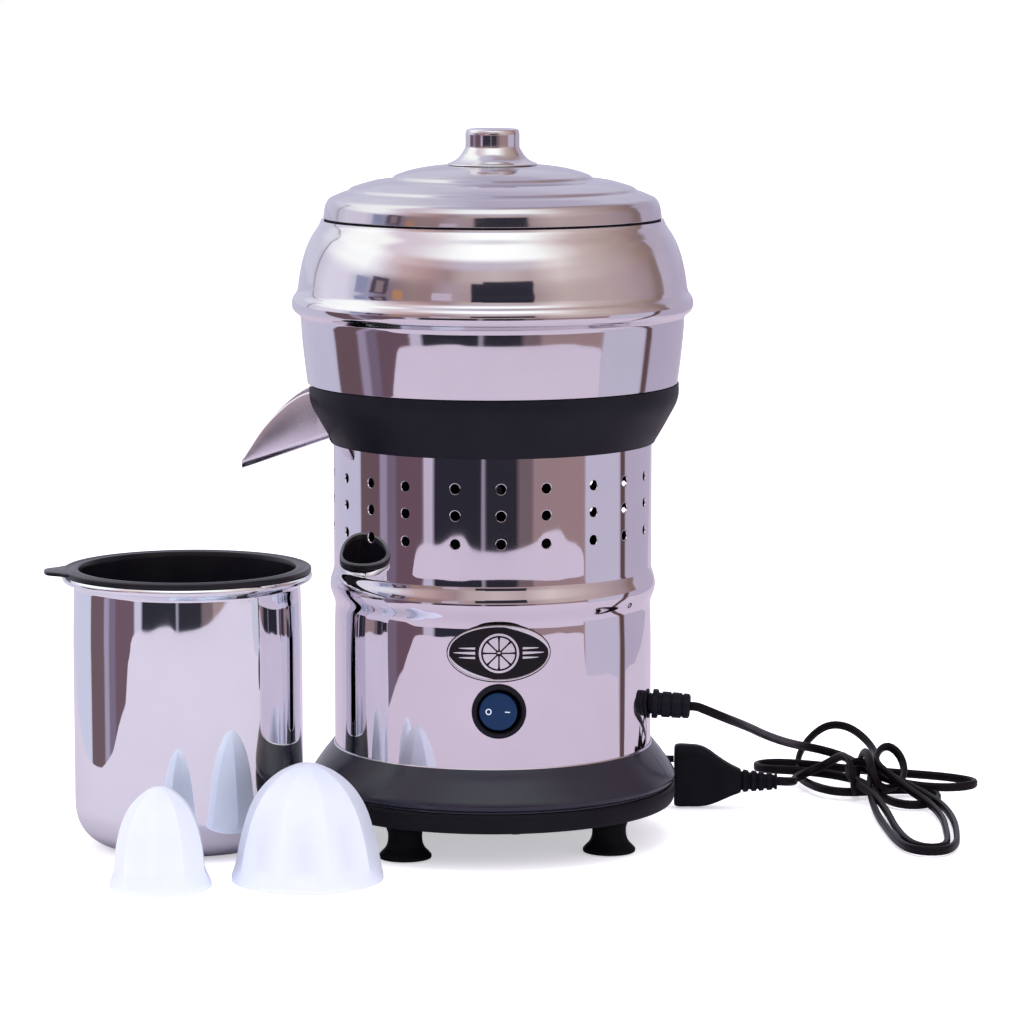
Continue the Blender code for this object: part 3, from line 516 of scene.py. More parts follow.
def housing_piece():
    """The perforated shell, as one grid whose rings run round each hole."""
    per = 6
    bounds, kinds = [], []
    for group in range(7):
        middle = group * 360.0 / 7 + VENT_TURN
        edges = [-20.25, -12.15, -4.05, 4.05, 12.15, 20.25]
        bounds += [middle + e for e in edges]
        kinds += ["vent", "plain", "vent", "plain", "vent", "plain"]
    bounds.append(bounds[0] + 360.0)
    columns = []
    for low, high in zip(bounds, bounds[1:]):
        columns += [low + (high - low) * k / per for k in range(per)]
    count = len(columns)
    rows = []

    def span_rows(low, high, steps):
        rows.extend((low + (high - low) * k / steps, 0.0) for k in range(steps))

    span_rows(46.3, 66.0, 4)
    hole_low = len(rows)
    span_rows(66.0, 107.0, 12)
    hole_high = len(rows)
    # the sheet is drawn in a little below the bead, and swells out at the bead
    rows.extend((107.0 + 26.5 * k / 12, -0.58 * (k / 12) ** 2.0) for k in range(12))
    rows.extend(
        (133.5 + 22.0 * k / 24, 2.25 * math.sin(math.pi * k / 24) ** 1.8 - 0.58 * (1 - smooth(k / 12)))
        for k in range(24)
    )
    span_rows(155.5, 170.2, 3)
    vent_bands = []
    edges = [170.2, 186.2, 202.0, 217.8]
    for low, high in zip(edges, edges[1:]):
        first = len(rows)
        span_rows(low, high, 8)
        vent_bands.append((first, len(rows)))
    rows += [(217.8, 0.0), (224.9, 0.0)]

    cells = []
    for index, kind in enumerate(kinds):
        if kind != "vent":
            continue
        c0 = index * per
        centre = (bounds[index] + bounds[index + 1]) / 2
        for (r0, r1), z in zip(vent_bands, VENT_ROWS):
            cells.append((c0, c0 + per, r0, r1, centre, z, 2.6, True))
    cells.append((per, 4 * per, hole_low, hole_high, 0.0, 86.4, 13.3, False))
    cells.append((11 * per, 13 * per, hole_low, hole_high, GLAND_BEARING, GLAND_Z, 6.5, False))

    bm = bmesh.new()

    def place(angle, z, radius):
        v = bearing_vector(angle) * radius
        return bm.verts.new((v.x, v.y, z))

    inside = set()
    taken = set()
    for c0, c1, r0, r1, *_ in cells:
        for r in range(r0, r1):
            for c in range(c0, c1):
                taken.add((r, c % count))
                if r > r0 and c > c0:
                    inside.add((r, c % count))
    verts = {}
    for r, (z, out) in enumerate(rows):
        for c in range(count):
            if (r, c) not in inside:
                verts[r, c] = place(columns[c], z, HOUSING_R + out)
    for r in range(len(rows) - 1):
        for c in range(count):
            if (r, c) in taken:
                continue
            n = (c + 1) % count
            bm.faces.new([verts[r, c], verts[r, n], verts[r + 1, n], verts[r + 1, c]])
    for c0, c1, r0, r1, centre, zc, radius, punched in cells:
        loop = [(r0, c) for c in range(c0, c1)] + [(r, c1) for r in range(r0, r1)]
        loop += [(r1, c) for c in range(c1, c0, -1)] + [(r, c0) for r in range(r1, r0, -1)]
        flat = []
        for r, c in loop:
            angle = columns[c % count] + (360.0 if columns[c % count] < columns[c0] - 1e-6 else 0.0)
            angle -= 360.0 if angle - centre > 180 else 0.0
            flat.append((math.radians(angle - centre) * HOUSING_R, rows[r][0] - zc))
        if punched:
            levels = [(radius, -0.62, 0.0), (radius + 0.10, -0.26, 0.0), (radius + 0.32, -0.04, 0.0), (radius + 0.62, 0.0, 0.0), (radius + 0.62, 0.0, 0.42)]
        else:
            levels = [(radius, 0.0, 0.0), (radius, 0.0, 0.35), (radius, 0.0, 0.7)]
        previous = [verts[r, c % count] for r, c in loop]
        for size, lift, blend in reversed(levels):
            ring = []
            for u, v in flat:
                a = math.atan2(v, u)
                x = size * math.cos(a) * (1 - blend) + u * blend
                y = size * math.sin(a) * (1 - blend) + v * blend
                ring.append(place(centre + math.degrees(x / HOUSING_R), zc + y, HOUSING_R + lift))
            for k in range(len(loop)):
                n = (k + 1) % len(loop)
                bm.faces.new([previous[k], previous[n], ring[n], ring[k]])
            previous = ring
    bmesh.ops.recalc_face_normals(bm, faces=bm.faces)
    out = sum(
        (f.normal.dot(Vector((f.calc_center_median().x, f.calc_center_median().y, 0))) for f in list(bm.faces)[:200])
    )
    if out < 0:
        bmesh.ops.reverse_faces(bm, faces=bm.faces)
    bmesh.ops.scale(bm, vec=(MM,) * 3, verts=bm.verts)
    mesh = bpy.data.meshes.new("housing_shell")
    bm.to_mesh(mesh)
    bm.free()
    mesh.materials.append(STEEL)
    mesh.materials.append(INNER)
    obj = bpy.data.objects.new("housing_shell", mesh)
    bpy.context.scene.collection.objects.link(obj)
    obj.location = at(0, 0)
    wall = obj.modifiers.new("wall", "SOLIDIFY")
    wall.thickness = 1.0 * MM
    wall.offset = -1.0
    wall.material_offset = 1
    wall.material_offset_rim = 0
    bake(obj, 32.0)
    mesh = obj.data
    custom = [Vector((0, 0, 0))] * len(mesh.loops)
    for face in mesh.polygons:
        middle = Vector((face.center.x, face.center.y, 0)).normalized()
        if face.normal.dot(middle) < 0.992:
            continue
        for index in face.loop_indices:
            co = mesh.vertices[mesh.loops[index].vertex_index].co
            if 0.106 < co.z < 0.1570:
                continue
            custom[index] = Vector((co.x, co.y, 0)).normalized()
    mesh.normals_split_custom_set(custom)
    return settle(obj, "root", ["motor_housing"])


housing = housing_piece()

# a rolled edge at the foot of the shell
lathe(
    "housing_foot_roll",
    [(89.6, 52.4, 0), (90.25, 52.6, 0.3), (90.4, 53.4, 0.3), (90.25, 54.2, 0.3), (89.6, 54.4, 0)],
    STEEL, "root",
)

# ------------------------------------------------------------------ collar and base

SPOUT_BEARING = -94.0
spout_dir = bearing_vector(SPOUT_BEARING)
spout_side = Vector((-spout_dir.y, spout_dir.x, 0.0))


def spout_box(name, half, near, far, low, high):
    corners = [
        spout_dir * near - spout_side * half,
        spout_dir * far - spout_side * half,
        spout_dir * far + spout_side * half,
        spout_dir * near + spout_side * half,
    ]
    return prism(name, [(c.x, c.y) for c in corners], low, high)


collar = lathe(
    "collar_ring",
    [
        (104.5, 258.0, 0.9), (104.7, 251.6, 3.0), (103.0, 246.6), (99.6, 240.2), (95.4, 232.6), (91.6, 226.2, 0.6), (91.2, 225.2, 0.2),
        (87.6, 225.2, 0), (87.6, 214.6, 0), (85.4, 214.6, 0), (85.4, 219.6, 0), (14.0, 219.6, 0), (14.0, 212.5, 0),
        (9.6, 212.5, 0), (9.6, 232.0, 0.4), (12.4, 232.0, 0.4), (12.4, 222.8, 1.0), (84.5, 222.8, 2.0), (90.7, 230.2),
        (96.1, 239.0), (100.4, 246.8), (101.6, 251.0), (101.6, 258.0, 0.5),
    ],
    BLACK, "root", replaces=["collar_tray"],
)
cut(collar, spout_box("tool_notch", 26.5, 70.0, 112.0, 227.2, 270.0))

skirt = lathe(
    "base_skirt_shell",
    [
        (91.0, 54.0, 0.5), (92.6, 52.0), (95.4, 48.6), (98.6, 44.2), (101.6, 39.8), (103.0, 37.4), (103.6, 35.4), (103.2, 33.4, 0.8),
        (101.3, 32.4, 0.4), (101.3, 31.5, 0), (98.6, 31.5, 0), (98.6, 33.0, 0.4), (91.4, 42.6, 1.0), (83.0, 42.6, 0),
        (83.0, 46.0, 0), (90.3, 46.0, 0), (90.3, 54.0, 0.2),
    ],
    BASE_BLACK, "root", replaces=["base_skirt"], sub=8,
)
cover = lathe(
    "base_cover_pan",
    [
        (102.4, 31.2, 0.6), (103.4, 29.8, 0.9), (103.5, 25.0, 2.0), (102.6, 21.4, 1.0), (101.4, 20.3, 0.7), (0.0, 20.3, 0), (0.0, 22.8, 0),
        (95.6, 22.8, 1.0), (95.6, 32.6, 0.3), (98.0, 32.6, 0.3), (98.0, 31.2, 0),
    ],
    COVER_BLACK, "root", replaces=["bottom_cover"],
)
tools = []
for k in range(4):
    place = bearing_vector(-39.0 + 90.0 * k) * 81.0
    tools.append(rod_mesh(f"tool_foot_{k}", 6.4, Vector((0, 0, 1)), (place.x, place.y, 15.0), 15.0, 48))
    place = bearing_vector(6.0 + 90.0 * k) * 87.0
    tools.append(rod_mesh(f"tool_screw_{k}", 2.7, Vector((0, 0, 1)), (place.x, place.y, 15.0), 15.0, 32))
cut(cover, *tools)

# the joint line between the two halves of the skirt, at the right and the left
for index, bearing in enumerate((71.0, 251.0)):
    bm = bmesh.new()
    seam = [(92.6, 51.9), (95.4, 48.5), (98.6, 44.1), (101.6, 39.7), (103.0, 37.3), (103.5, 35.3), (103.2, 33.8)]
    fine = [(p.x, p.y) for p in catmull([Vector(p) for p in seam], 8)]
    rows = []
    for r, z in fine:
        row = []
        for side, lift in ((-0.34, -0.10), (-0.22, 0.16), (0.22, 0.16), (0.34, -0.10)):
            v = bearing_vector(bearing + math.degrees(side / r)) * (r + lift)
            row.append(bm.verts.new((v.x, v.y, z)))
        rows.append(row)
    for a, b in zip(rows, rows[1:]):
        for i in range(4):
            n = (i + 1) % 4
            bm.faces.new([a[i], a[n], b[n], b[i]])
    bm.faces.new(rows[0])
    bm.faces.new(rows[-1])
    settle(object_from(f"skirt_flash_{index + 1}", bm, BASE_BLACK, at(0, 0)), "root")

foot_points = [
    (0.0, 2.2, 0), (9.6, 1.8, 1.0), (11.4, 0.0, 0.5), (14.5, 0.0, 0.4), (14.8, 1.6, 0.6), (13.2, 3.4), (11.0, 5.8), (9.8, 8.6),
    (9.5, 11.0), (9.6, 14.0), (10.6, 17.0), (11.6, 19.6, 0.4), (11.4, 20.0, 0), (5.9, 20.0, 0), (5.9, 23.1, 0),
    (8.2, 23.1, 0.3), (5.8, 27.0, 0.6), (0.0, 27.0, 0),
]
for k in range(4):
    place = bearing_vector(-39.0 + 90.0 * k) * 81.0
    lathe(f"rubber_foot_{k + 1}", foot_points, RUBBER, "root", (place.x, place.y), 96, replaces=[f"foot_{k + 1}"])
    place = bearing_vector(6.0 + 90.0 * k) * 87.0
    lathe(
        f"cover_screw_{k + 1}",
        [(0.0, 18.3, 0), (1.2, 18.3, 0.1), (1.5, 17.7, 0.2), (3.4, 17.7, 0.4), (4.0, 18.6, 0.4), (4.0, 20.0, 0), (2.2, 20.0, 0), (2.2, 42.2, 0.4), (0.0, 42.2, 0)],
        ZINC, "root", (place.x, place.y), 48, replaces=[f"base_screw_{k + 1}"],
    )

# ------------------------------------------------------------------ badge

BADGE_Z = 118.7


def on_badge(u, v, radius):
    p = bearing_vector(math.degrees(u / 90.0)) * radius
    return Vector((p.x, p.y, BADGE_Z + v))


def curved_patch(bm, grid, low, high, wrap=False, crown=None):
    """A closed slab bent round the housing over a grid of (u, v) places."""
    n, m = len(grid), len(grid[0])
    top = [[bm.verts.new(on_badge(u, v, high + (crown(i, j) if crown else 0.0))) for j, (u, v) in enumerate(row)] for i, row in enumerate(grid)]
    bottom = [[bm.verts.new(on_badge(u, v, low)) for u, v in row] for row in grid]
    across = range(m) if wrap else range(m - 1)
    for i in range(n - 1):
        for j in across:
            k = (j + 1) % m
            bm.faces.new([top[i][j], top[i][k], top[i + 1][k], top[i + 1][j]])
            bm.faces.new([bottom[i][j], bottom[i + 1][j], bottom[i + 1][k], bottom[i][k]])
    for j in across:
        k = (j + 1) % m
        for i in (0, n - 1):
            bm.faces.new([top[i][j], top[i][k], bottom[i][k], bottom[i][j]])
    if not wrap:
        for i in range(n - 1):
            for j in (0, m - 1):
                bm.faces.new([top[i][j], top[i + 1][j], bottom[i + 1][j], bottom[i][j]])


def oval(scale_u, scale_v, count=128):
    return [(scale_u * math.cos(2 * math.pi * k / count), scale_v * math.sin(2 * math.pi * k / count)) for k in range(count)]


bm = bmesh.new()
levels = [0.04, 0.2, 0.4, 0.6, 0.8, 0.92, 0.97, 0.99]
curved_patch(bm, [oval(29.0 * s, 16.25 * s) for s in levels], 90.05, 90.75, True)
settle(object_from("badge_plate_oval", bm, ENAMEL, at(0, 0)), "root", ["badge_plate"])

bm = bmesh.new()
curved_patch(bm, [oval(r, r - 12.75) for r in (27.25, 27.5, 27.9, 28.15)], 90.5, 90.92, True, lambda i, j: (0.0, 0.10, 0.10, 0.0)[i])
settle(object_from("badge_border", bm, SILVER, at(0, 0)), "root")

bm = bmesh.new()
for r0, r1 in ((9.7, 10.9),):
    curved_patch(bm, [[(r * math.cos(2 * math.pi * k / 72), r * math.sin(2 * math.pi * k / 72)) for k in range(72)] for r in (r0, (r0 + r1) / 2, r1)], 90.5, 90.95, True)
for k in range(8):
    middle = 2 * math.pi * (k + 0.5) / 8
    rows = []
    for i in range(8):
        r = 1.7 + (8.7 - 1.7) * i / 7
        half = max(0.05, math.pi / 8 - 0.42 / r) * (1.0 - 0.10 * (i / 7) ** 6) * (0.75 if i == 0 else 1.0)
        rows.append([(r * math.cos(middle + half * s / 4), r * math.sin(middle + half * s / 4)) for s in range(-4, 5)])
    curved_patch(bm, rows, 90.5, 90.95)
for side in (-1, 1):
    for v0, length, tall in ((2.6, 9.0, 0.55), (0.0, 12.0, 0.75), (-2.6, 9.0, 0.55)):
        rows = []
        for i in range(13):
            t = i / 12
            u = side * (12.9 + length * t)
            half = tall * (1 - t) ** 0.6 + 0.06
            rows.append([(u, v0 + half), (u, v0), (u, v0 - half)])
        curved_patch(bm, rows, 90.5, 90.92)
for first, last in ((8, 84), (188, 264)):
    rows = []
    for i in range(25):
        t = i / 24
        a = math.radians(first + (last - first) * t)
        thick = 1.55 * math.sin(math.pi * t) ** 0.8 + 0.04
        ring = [(27.3 - thick * k / 2, 27.3 - 12.75 - thick * k / 2) for k in range(3)]
        rows.append([(u * math.cos(a), v * math.sin(a)) for u, v in ring])
    curved_patch(bm, rows, 90.5, 90.93)
settle(object_from("badge_emblem", bm, SILVER, at(0, 0)), "root")

# ------------------------------------------------------------------ switch

front = Vector((0, -1, 0))
switch_from = Vector((0, 0, 86.4))
lathe(
    "switch_bezel_ring",
    [(12.0, 74.0, 0), (12.0, 91.2, 0.5), (12.7, 92.3, 0.5), (13.6, 92.65, 0.4), (14.6, 92.0, 0.5), (15.0, 91.0, 0.4), (15.0, 89.9, 0), (12.8, 89.9, 0), (12.8, 74.0, 0)],
    BLACK, "root", steps=128, replaces=["switch_bezel"], direction=front, origin=switch_from,
)


def rocker_surface(x, z, lift=0.0):
    """A point of the rocker's face, from its hinge, before it is tilted."""
    slope = math.tan(math.radians(9.0))
    crease = math.sqrt(x * x + 0.35)
    depth = 4.5 - (10.4 - crease) * slope
    return Vector((x, -(depth + lift), z))


def rocker_turn(bm):
    bmesh.ops.rotate(bm, cent=(0, 0, 0), matrix=Matrix.Rotation(-math.radians(9.0), 3, "Z"), verts=bm.verts)
    return bm


bm = bmesh.new()
steps, rings = 96, 22
centre = bm.verts.new(rocker_surface(0, 0))
previous = None
for i in range(1, rings + 1):
    r = 10.4 * math.sin(math.pi / 2 * i / rings)
    ring = []
    for k in range(steps):
        a = 2 * math.pi * k / steps
        p = rocker_surface(r * math.cos(a), r * math.sin(a))
        edge = max(0.0, (r - 9.7) / 0.7)
        p.y += 0.45 * edge**2.2
        ring.append(bm.verts.new(p))
    for k in range(steps):
        n = (k + 1) % steps
        if previous is None:
            bm.faces.new([centre, ring[k], ring[n]])
        else:
            bm.faces.new([previous[k], previous[n], ring[n], ring[k]])
    previous = ring
for depth in (2.2, 0.0, -3.0):
    ring = [bm.verts.new((10.4 * math.cos(2 * math.pi * k / steps), -depth if depth < 2 else min(-depth, previous[k].co.y + 0.9), 10.4 * math.sin(2 * math.pi * k / steps))) for k in range(steps)]
    for k in range(steps):
        n = (k + 1) % steps
        bm.faces.new([previous[k], previous[n], ring[n], ring[k]])
    previous = ring
bm.faces.new(previous)
rocker = object_from("rocker_key", rocker_turn(bm), BLUE, at(0, -88.0, 86.4), sharp=50.0)
settle(rocker, "rocker", ["switch_rocker"])

bm = bmesh.new()


def rocker_patch(grid, wrap=False):
    n, m = len(grid), len(grid[0])
    top = [[bm.verts.new(rocker_surface(x, z, 0.10)) for x, z in row] for row in grid]
    low = [[bm.verts.new(rocker_surface(x, z, -0.15)) for x, z in row] for row in grid]
    across = range(m) if wrap else range(m - 1)
    for i in range(n - 1):
        for j in across:
            k = (j + 1) % m
            bm.faces.new([top[i][j], top[i][k], top[i + 1][k], top[i + 1][j]])
            bm.faces.new([low[i][j], low[i + 1][j], low[i + 1][k], low[i][k]])
    for j in across:
        k = (j + 1) % m
        for i in (0, n - 1):
            bm.faces.new([top[i][j], top[i][k], low[i][k], low[i][j]])
    if not wrap:
        for i in range(n - 1):
            for j in (0, m - 1):
                bm.faces.new([top[i][j], top[i + 1][j], low[i + 1][j], low[i][j]])


rocker_patch([[(-5.2 + r * math.cos(2 * math.pi * k / 48), r * 1.05 * math.sin(2 * math.pi * k / 48)) for k in range(48)] for r in (1.15, 1.62)], True)
rocker_patch([[(3.8 + 0.4 * k, h) for k in range(8)] for h in (-0.24, 0.24)])
settle(object_from("rocker_marks", rocker_turn(bm), MARK, at(0, -88.0, 86.4)), "rocker")

# ------------------------------------------------------------------ cord gland

gland_points = [
    (0.0, 83.0, 0), (8.6, 83.0, 0.3), (8.6, 86.9, 0.3), (5.8, 86.9, 0), (5.8, 90.9, 0), (8.3, 90.9, 0.3), (8.3, 93.9, 0.5),
    (6.5, 94.4, 0.3), (6.5, 96.2, 0.3), (7.3, 96.4, 0.3), (7.3, 101.0, 0.3), (6.6, 101.2, 0.2), (6.6, 102.0, 0.2), (7.3, 102.2, 0.3),
    (7.2, 107.2, 0.3), (6.4, 107.4, 0.2), (6.4, 108.2, 0.2), (7.1, 108.4, 0.3), (7.0, 111.4, 0.6), (5.8, 112.2, 0.4), (3.4, 112.2, 0.3), (3.0, 111.2, 0), (0.0, 111.2, 0),
]
gland = lathe("cord_gland_boot", gland_points, BLACK, "root", steps=96, replaces=["cord_gland"], direction=gland_dir, origin=gland_from)

# ------------------------------------------------------------------ bowl

bowl = lathe(
    "bowl_shell",
    [
        (95.9, 349.4, 0.5), (96.4, 347.8), (98.0, 345.0), (100.9, 340.6), (104.1, 333.8), (106.7, 325.2), (108.3, 316.8), (109.1, 311.2),
        (109.9, 308.9), (111.4, 306.9), (112.3, 304.4), (112.35, 301.6), (111.3, 299.2), (109.4, 297.5), (108.0, 296.2), (107.45, 294.6), (107.3, 291.8), (107.08, 288.0), (106.72, 283.6),
        (105.9, 275.4), (104.85, 266.4), (103.8, 258.3, 0.3),
        (100.4, 258.3, 0), (99.6, 250.0), (96.0, 240.5), (90.0, 232.0), (84.0, 228.3, 1.0), (16.4, 228.3, 0),
        (16.4, 229.8, 0), (83.4, 229.8, 1.5), (88.8, 233.0), (94.5, 241.2), (98.2, 251.0), (99.6, 259.6, 0.5), (102.2, 262.0, 0.5), (105.2, 289.0),
        (107.2, 296.6), (110.4, 302.7), (107.6, 309.0), (106.8, 313.0), (102.9, 333.0), (99.0, 342.2), (95.0, 347.9, 0.4), (92.6, 347.9, 0.2), (92.6, 349.4, 0.4),
    ],
    SPUN, "bowl", steps=256, replaces=["juice_bowl"], sub=8,
)
cut(bowl, spout_box("tool_mouth", 20.0, 70.0, 112.0, 232.0, 251.0))
lathe(
    "bowl_centre_tube",
    [(14.5, 226.4, 0), (20.5, 226.4, 0.3), (20.5, 228.0, 0.5), (16.0, 228.0, 1.0), (16.0, 262.0, 0.5), (14.5, 262.0, 0.4)],
    SPUN, "bowl", steps=96, replaces=["bowl_tube"],
)


def spout_piece():
    """A tapered open channel with hemmed edges, drawn in fine sections."""
    stations = [(80.0, 231.9, 255.6, 24.3), (104.0, 223.3, 253.6, 22.4), (124.0, 216.0, 238.0, 19.5), (140.0, 210.4, 215.4, 17.0)]
    curve = catmull([Vector((s[0], s[1], s[2])) for s in stations], 12)
    widths = catmull([Vector((s[0], s[3], 0)) for s in stations], 12)
    bm = bmesh.new()
    loops = []
    for (out, floor, top), (_, half, _) in zip(curve, widths):
        wall, corner, roll = 1.2, 4.6, 1.15
        top = max(top, floor + 4.9)
        corner = min(corner, (top - floor) * 0.8)
        left_roll = [
            (-half + roll + roll * math.cos(math.pi * k / 8), top - roll + roll * math.sin(math.pi * k / 8))
            for k in range(9)
        ]
        outer = []
        for k in range(7):
            a = math.pi / 2 * k / 6
            outer.append((-half + corner - corner * math.cos(a), floor + corner - corner * math.sin(a)))
        outer_right = [(-x, z) for x, z in outer][::-1]
        inner = []
        c2 = corner - wall
        for k in range(7):
            a = math.pi / 2 * k / 6
            inner.append((half - corner + c2 * math.cos(a), floor + corner - c2 * math.sin(a)))
        inner_left = [(-x, z) for x, z in inner][::-1]
        right_roll = [(-x, z) for x, z in left_roll][::-1]
        # anticlockwise from the left hem: hem, outer wall, floor, right hem, inner floor
        loop = left_roll + outer + outer_right + right_roll + inner + inner_left
        loops.append([bm.verts.new((spout_dir * out + spout_side * s) + Vector((0, 0, z))) for s, z in loop])
    for a, b in zip(loops, loops[1:]):
        for i in range(len(a)):
            n = (i + 1) % len(a)
            bm.faces.new([a[i], a[n], b[n], b[i]])
    bm.faces.new(loops[0])
    bm.faces.new(loops[-1])
    return object_from("spout_channel", bm, SPOUT, at(0, 0), sharp=45.0)


spout = spout_piece()
root_tool = object_from(
    "tool_root",
    lathe_bmesh([(104.1, 278.0), (104.1, 257.7), (100.9, 257.7), (100.1, 249.7), (96.5, 240.1), (90.4, 231.5), (84.1, 227.8), (0.0, 227.8), (0.0, 278.0)], 96),
    [], at(0, 0),
)
cut(spout, root_tool)
settle(spout, "bowl", ["spout"])

# ------------------------------------------------------------------ lid

lathe(
    "lid_dome",
    [
        (2.6, 379.7, 0), (25.8, 379.7, 0.8), (33.0, 379.1), (41.6, 377.8), (49.0, 376.0), (54.6, 374.0, 0.8), (56.6, 372.0, 0.8), (59.8, 371.4, 0.8),
        (66.8, 370.9, 1.6), (73.0, 369.2), (79.2, 367.2, 1.0), (81.0, 365.4, 0.8), (84.6, 364.3, 1.0), (91.4, 361.4, 1.6), (93.3, 358.0), (94.2, 353.6), (94.6, 350.6, 0.35),
        (92.1, 350.6, 0), (92.1, 343.5, 0), (91.0, 343.5, 0), (91.0, 352.0), (91.8, 357.6), (90.4, 360.2, 0.5), (83.6, 363.0, 0.5),
        (78.4, 366.2, 0.5), (66.5, 369.4, 0.5), (58.9, 370.2, 0.5), (53.8, 373.0, 0.5), (41.3, 376.2), (25.0, 378.2, 0.5), (2.6, 378.2, 0),
    ],
    LID, "lid", steps=256, replaces=["lid_shell"], sub=8,
)
# painted shade: a dark ring set in the gap between the lid and the bowl, standing in for the dark line of shade there
lathe(
    "lid_gap_shade_ring",
    [(92.3, 350.5, 0), (92.3, 349.5, 0.1), (94.1, 349.5, 0.3), (94.1, 350.5, 0)],
    RUBBER, "lid", steps=192,
)
lathe(
    "lid_knob_turned",
    [
        (2.6, 380.0, 0), (25.3, 380.0, 0.2), (25.0, 380.6, 0.3), (22.4, 381.6), (19.8, 383.2), (17.6, 385.6), (16.0, 388.2), (15.2, 389.6, 0.4),
        (15.15, 391.0), (15.15, 397.6, 1.1), (14.5, 399.5, 0.9), (13.2, 399.9, 0.4), (12.6, 399.5, 0.3), (11.9, 399.95, 0.3), (0.0, 400.0, 0),
        (0.0, 392.5, 0), (2.6, 392.5, 0),
    ],
    KNOB, "lid", steps=160, replaces=["lid_knob"], sub=8,
)

# ------------------------------------------------------------------ jug and strainer

JUG_X, JUG_Y = -171.6, -14.8
lathe(
    "jug_shell",
    [
        (0.0, 0.9, 0), (30.0, 0.7, 3.0), (35.0, 0.0, 1.5), (41.0, 0.0, 2.0), (47.0, 1.0), (53.2, 3.6), (58.6, 8.0), (62.2, 14.0), (63.8, 20.5), (64.1, 27.0, 4.0),
        (64.1, 106.0, 4.0), (64.06, 114.0), (63.92, 122.0), (63.72, 130.0), (63.50, 138.0), (63.26, 146.6, 0.8), (65.9, 148.9, 0.8), (69.2, 149.6, 0.5), (70.0, 151.6, 0.7), (69.2, 153.4, 0.6), (63.0, 153.4, 0.4), (62.2, 149.4, 0.5),
        (62.9, 106.0, 8.0), (62.9, 27.3, 4.0), (62.4, 20.0), (59.6, 12.0), (54.0, 5.8), (46.0, 2.4), (38.0, 1.6, 1.0), (0.0, 2.2, 0),
    ],
    JUG_STEEL, "jug", (JUG_X, JUG_Y), 256, replaces=["jug"], sub=8,
)
lathe(
    "strainer_basket",
    [
        (69.4, 153.7, 0.3), (69.5, 154.6, 0.4), (69.4, 155.9, 0.5), (68.5, 156.6, 0.5), (65.8, 155.8, 0.4), (63.2, 156.6, 0.5), (60.9, 156.4, 0.6), (60.3, 154.0, 0.6),
        (58.8, 111.6, 0.6), (58.2, 109.9, 0.5), (50.0, 109.9, 0.2), (50.0, 108.4, 0.2), (59.6, 108.4, 0.8), (60.2, 111.4, 0.6), (61.5, 150.4, 0.8), (61.6, 153.7, 0.2),
    ],
    STRAINER_BLACK, "strainer", (JUG_X, JUG_Y), 192, replaces=["strainer"],
)
tab_turn = Matrix.Rotation(math.radians(-174.9), 2)
tab_line = catmull([Vector(p) for p in ((63.0, -21.0), (68.0, -17.4), (71.6, -13.2), (75.2, -10.6), (78.4, -7.6), (79.6, -3.4), (79.8, 0.0), (79.6, 3.4), (78.4, 7.6), (75.2, 10.6), (71.6, 13.2), (68.0, 17.4), (63.0, 21.0))], 5)
tab_places = [tab_turn @ p for p in tab_line]
tab = prism("strainer_tab", [(p.x + JUG_X, p.y + JUG_Y) for p in tab_places], 153.9, 156.0, [STRAINER_BLACK], 0.55)
settle(tab, "strainer")

bm = bmesh.new()


def add_ring(bm, r0, r1, z0, z1, steps=96):
    loops = [[bm.verts.new((r * math.cos(2 * math.pi * k / steps), r * math.sin(2 * math.pi * k / steps), z)) for k in range(steps)] for r, z in ((r0, z0), (r1, z0), (r1, z1), (r0, z1))]
    for i in range(4):
        a, b = loops[i], loops[(i + 1) % 4]
        for k in range(steps):
            n = (k + 1) % steps
            bm.faces.new([a[k], a[n], b[n], b[k]])


for index, radius in enumerate((6.0, 11.0, 16.0, 21.0, 26.0, 31.0, 36.0, 41.0, 46.0, 51.0, 56.4)):
    add_ring(bm, radius - 1.1, radius + 1.1, 110.25, 111.15)
for k in range(16):
    a = 2 * math.pi * k / 16
    turn = Matrix.Rotation(a, 4, "Z")
    corners = [turn @ Vector((x, y, z)) for x, y, z in ((4.0, -0.7, 110.4), (57.6, -0.7, 110.4), (57.6, 0.7, 110.4), (4.0, 0.7, 110.4), (4.0, -0.7, 112.0), (57.6, -0.7, 112.0), (57.6, 0.7, 112.0), (4.0, 0.7, 112.0))]
    v = [bm.verts.new(c) for c in corners]
    for face in ((0, 3, 2, 1), (4, 5, 6, 7), (0, 1, 5, 4), (1, 2, 6, 5), (2, 3, 7, 6), (3, 0, 4, 7)):
        bm.faces.new([v[i] for i in face])
settle(object_from("strainer_floor", bm, STRAINER_BLACK, at(JUG_X, JUG_Y)), "strainer", ["strainer_mesh"])

# ------------------------------------------------------------------ reamers


def reamer(name, outer, inner, ridges, depth, place, body, node, turn):
    """A dome whose crisp ridges are parted by soft flats, hollow below."""
    top = outline(outer, False, 8)
    under = outline(inner, False, 5)
    profile = top + under[1:] if (Vector(top[-1]) - Vector(under[0])).length < 1e-3 else top + under
    crown = outer[0][1]
    base = outer[-3][1]

    def shape(index, angle):
        if index >= len(top):
            return 1.0
        z = top[index][1]
        fade = min(1.0, max(0.0, (z - base) / 7.0)) * min(1.0, max(0.0, (crown - z) / 1.2))
        u = (angle * ridges / (2 * math.pi)) % 1.0
        return 1.0 - depth * fade * math.sin(math.pi * u) ** 0.9

    bm = lathe_bmesh(profile, ridges * 16, False, shape)
    bmesh.ops.rotate(bm, cent=(0, 0, 0), matrix=Matrix.Rotation(math.radians(turn), 3, "Z"), verts=bm.verts)
    obj = object_from(name, bm, WHITE, at(*place), None, 24.0)
    return settle(obj, body, [node])


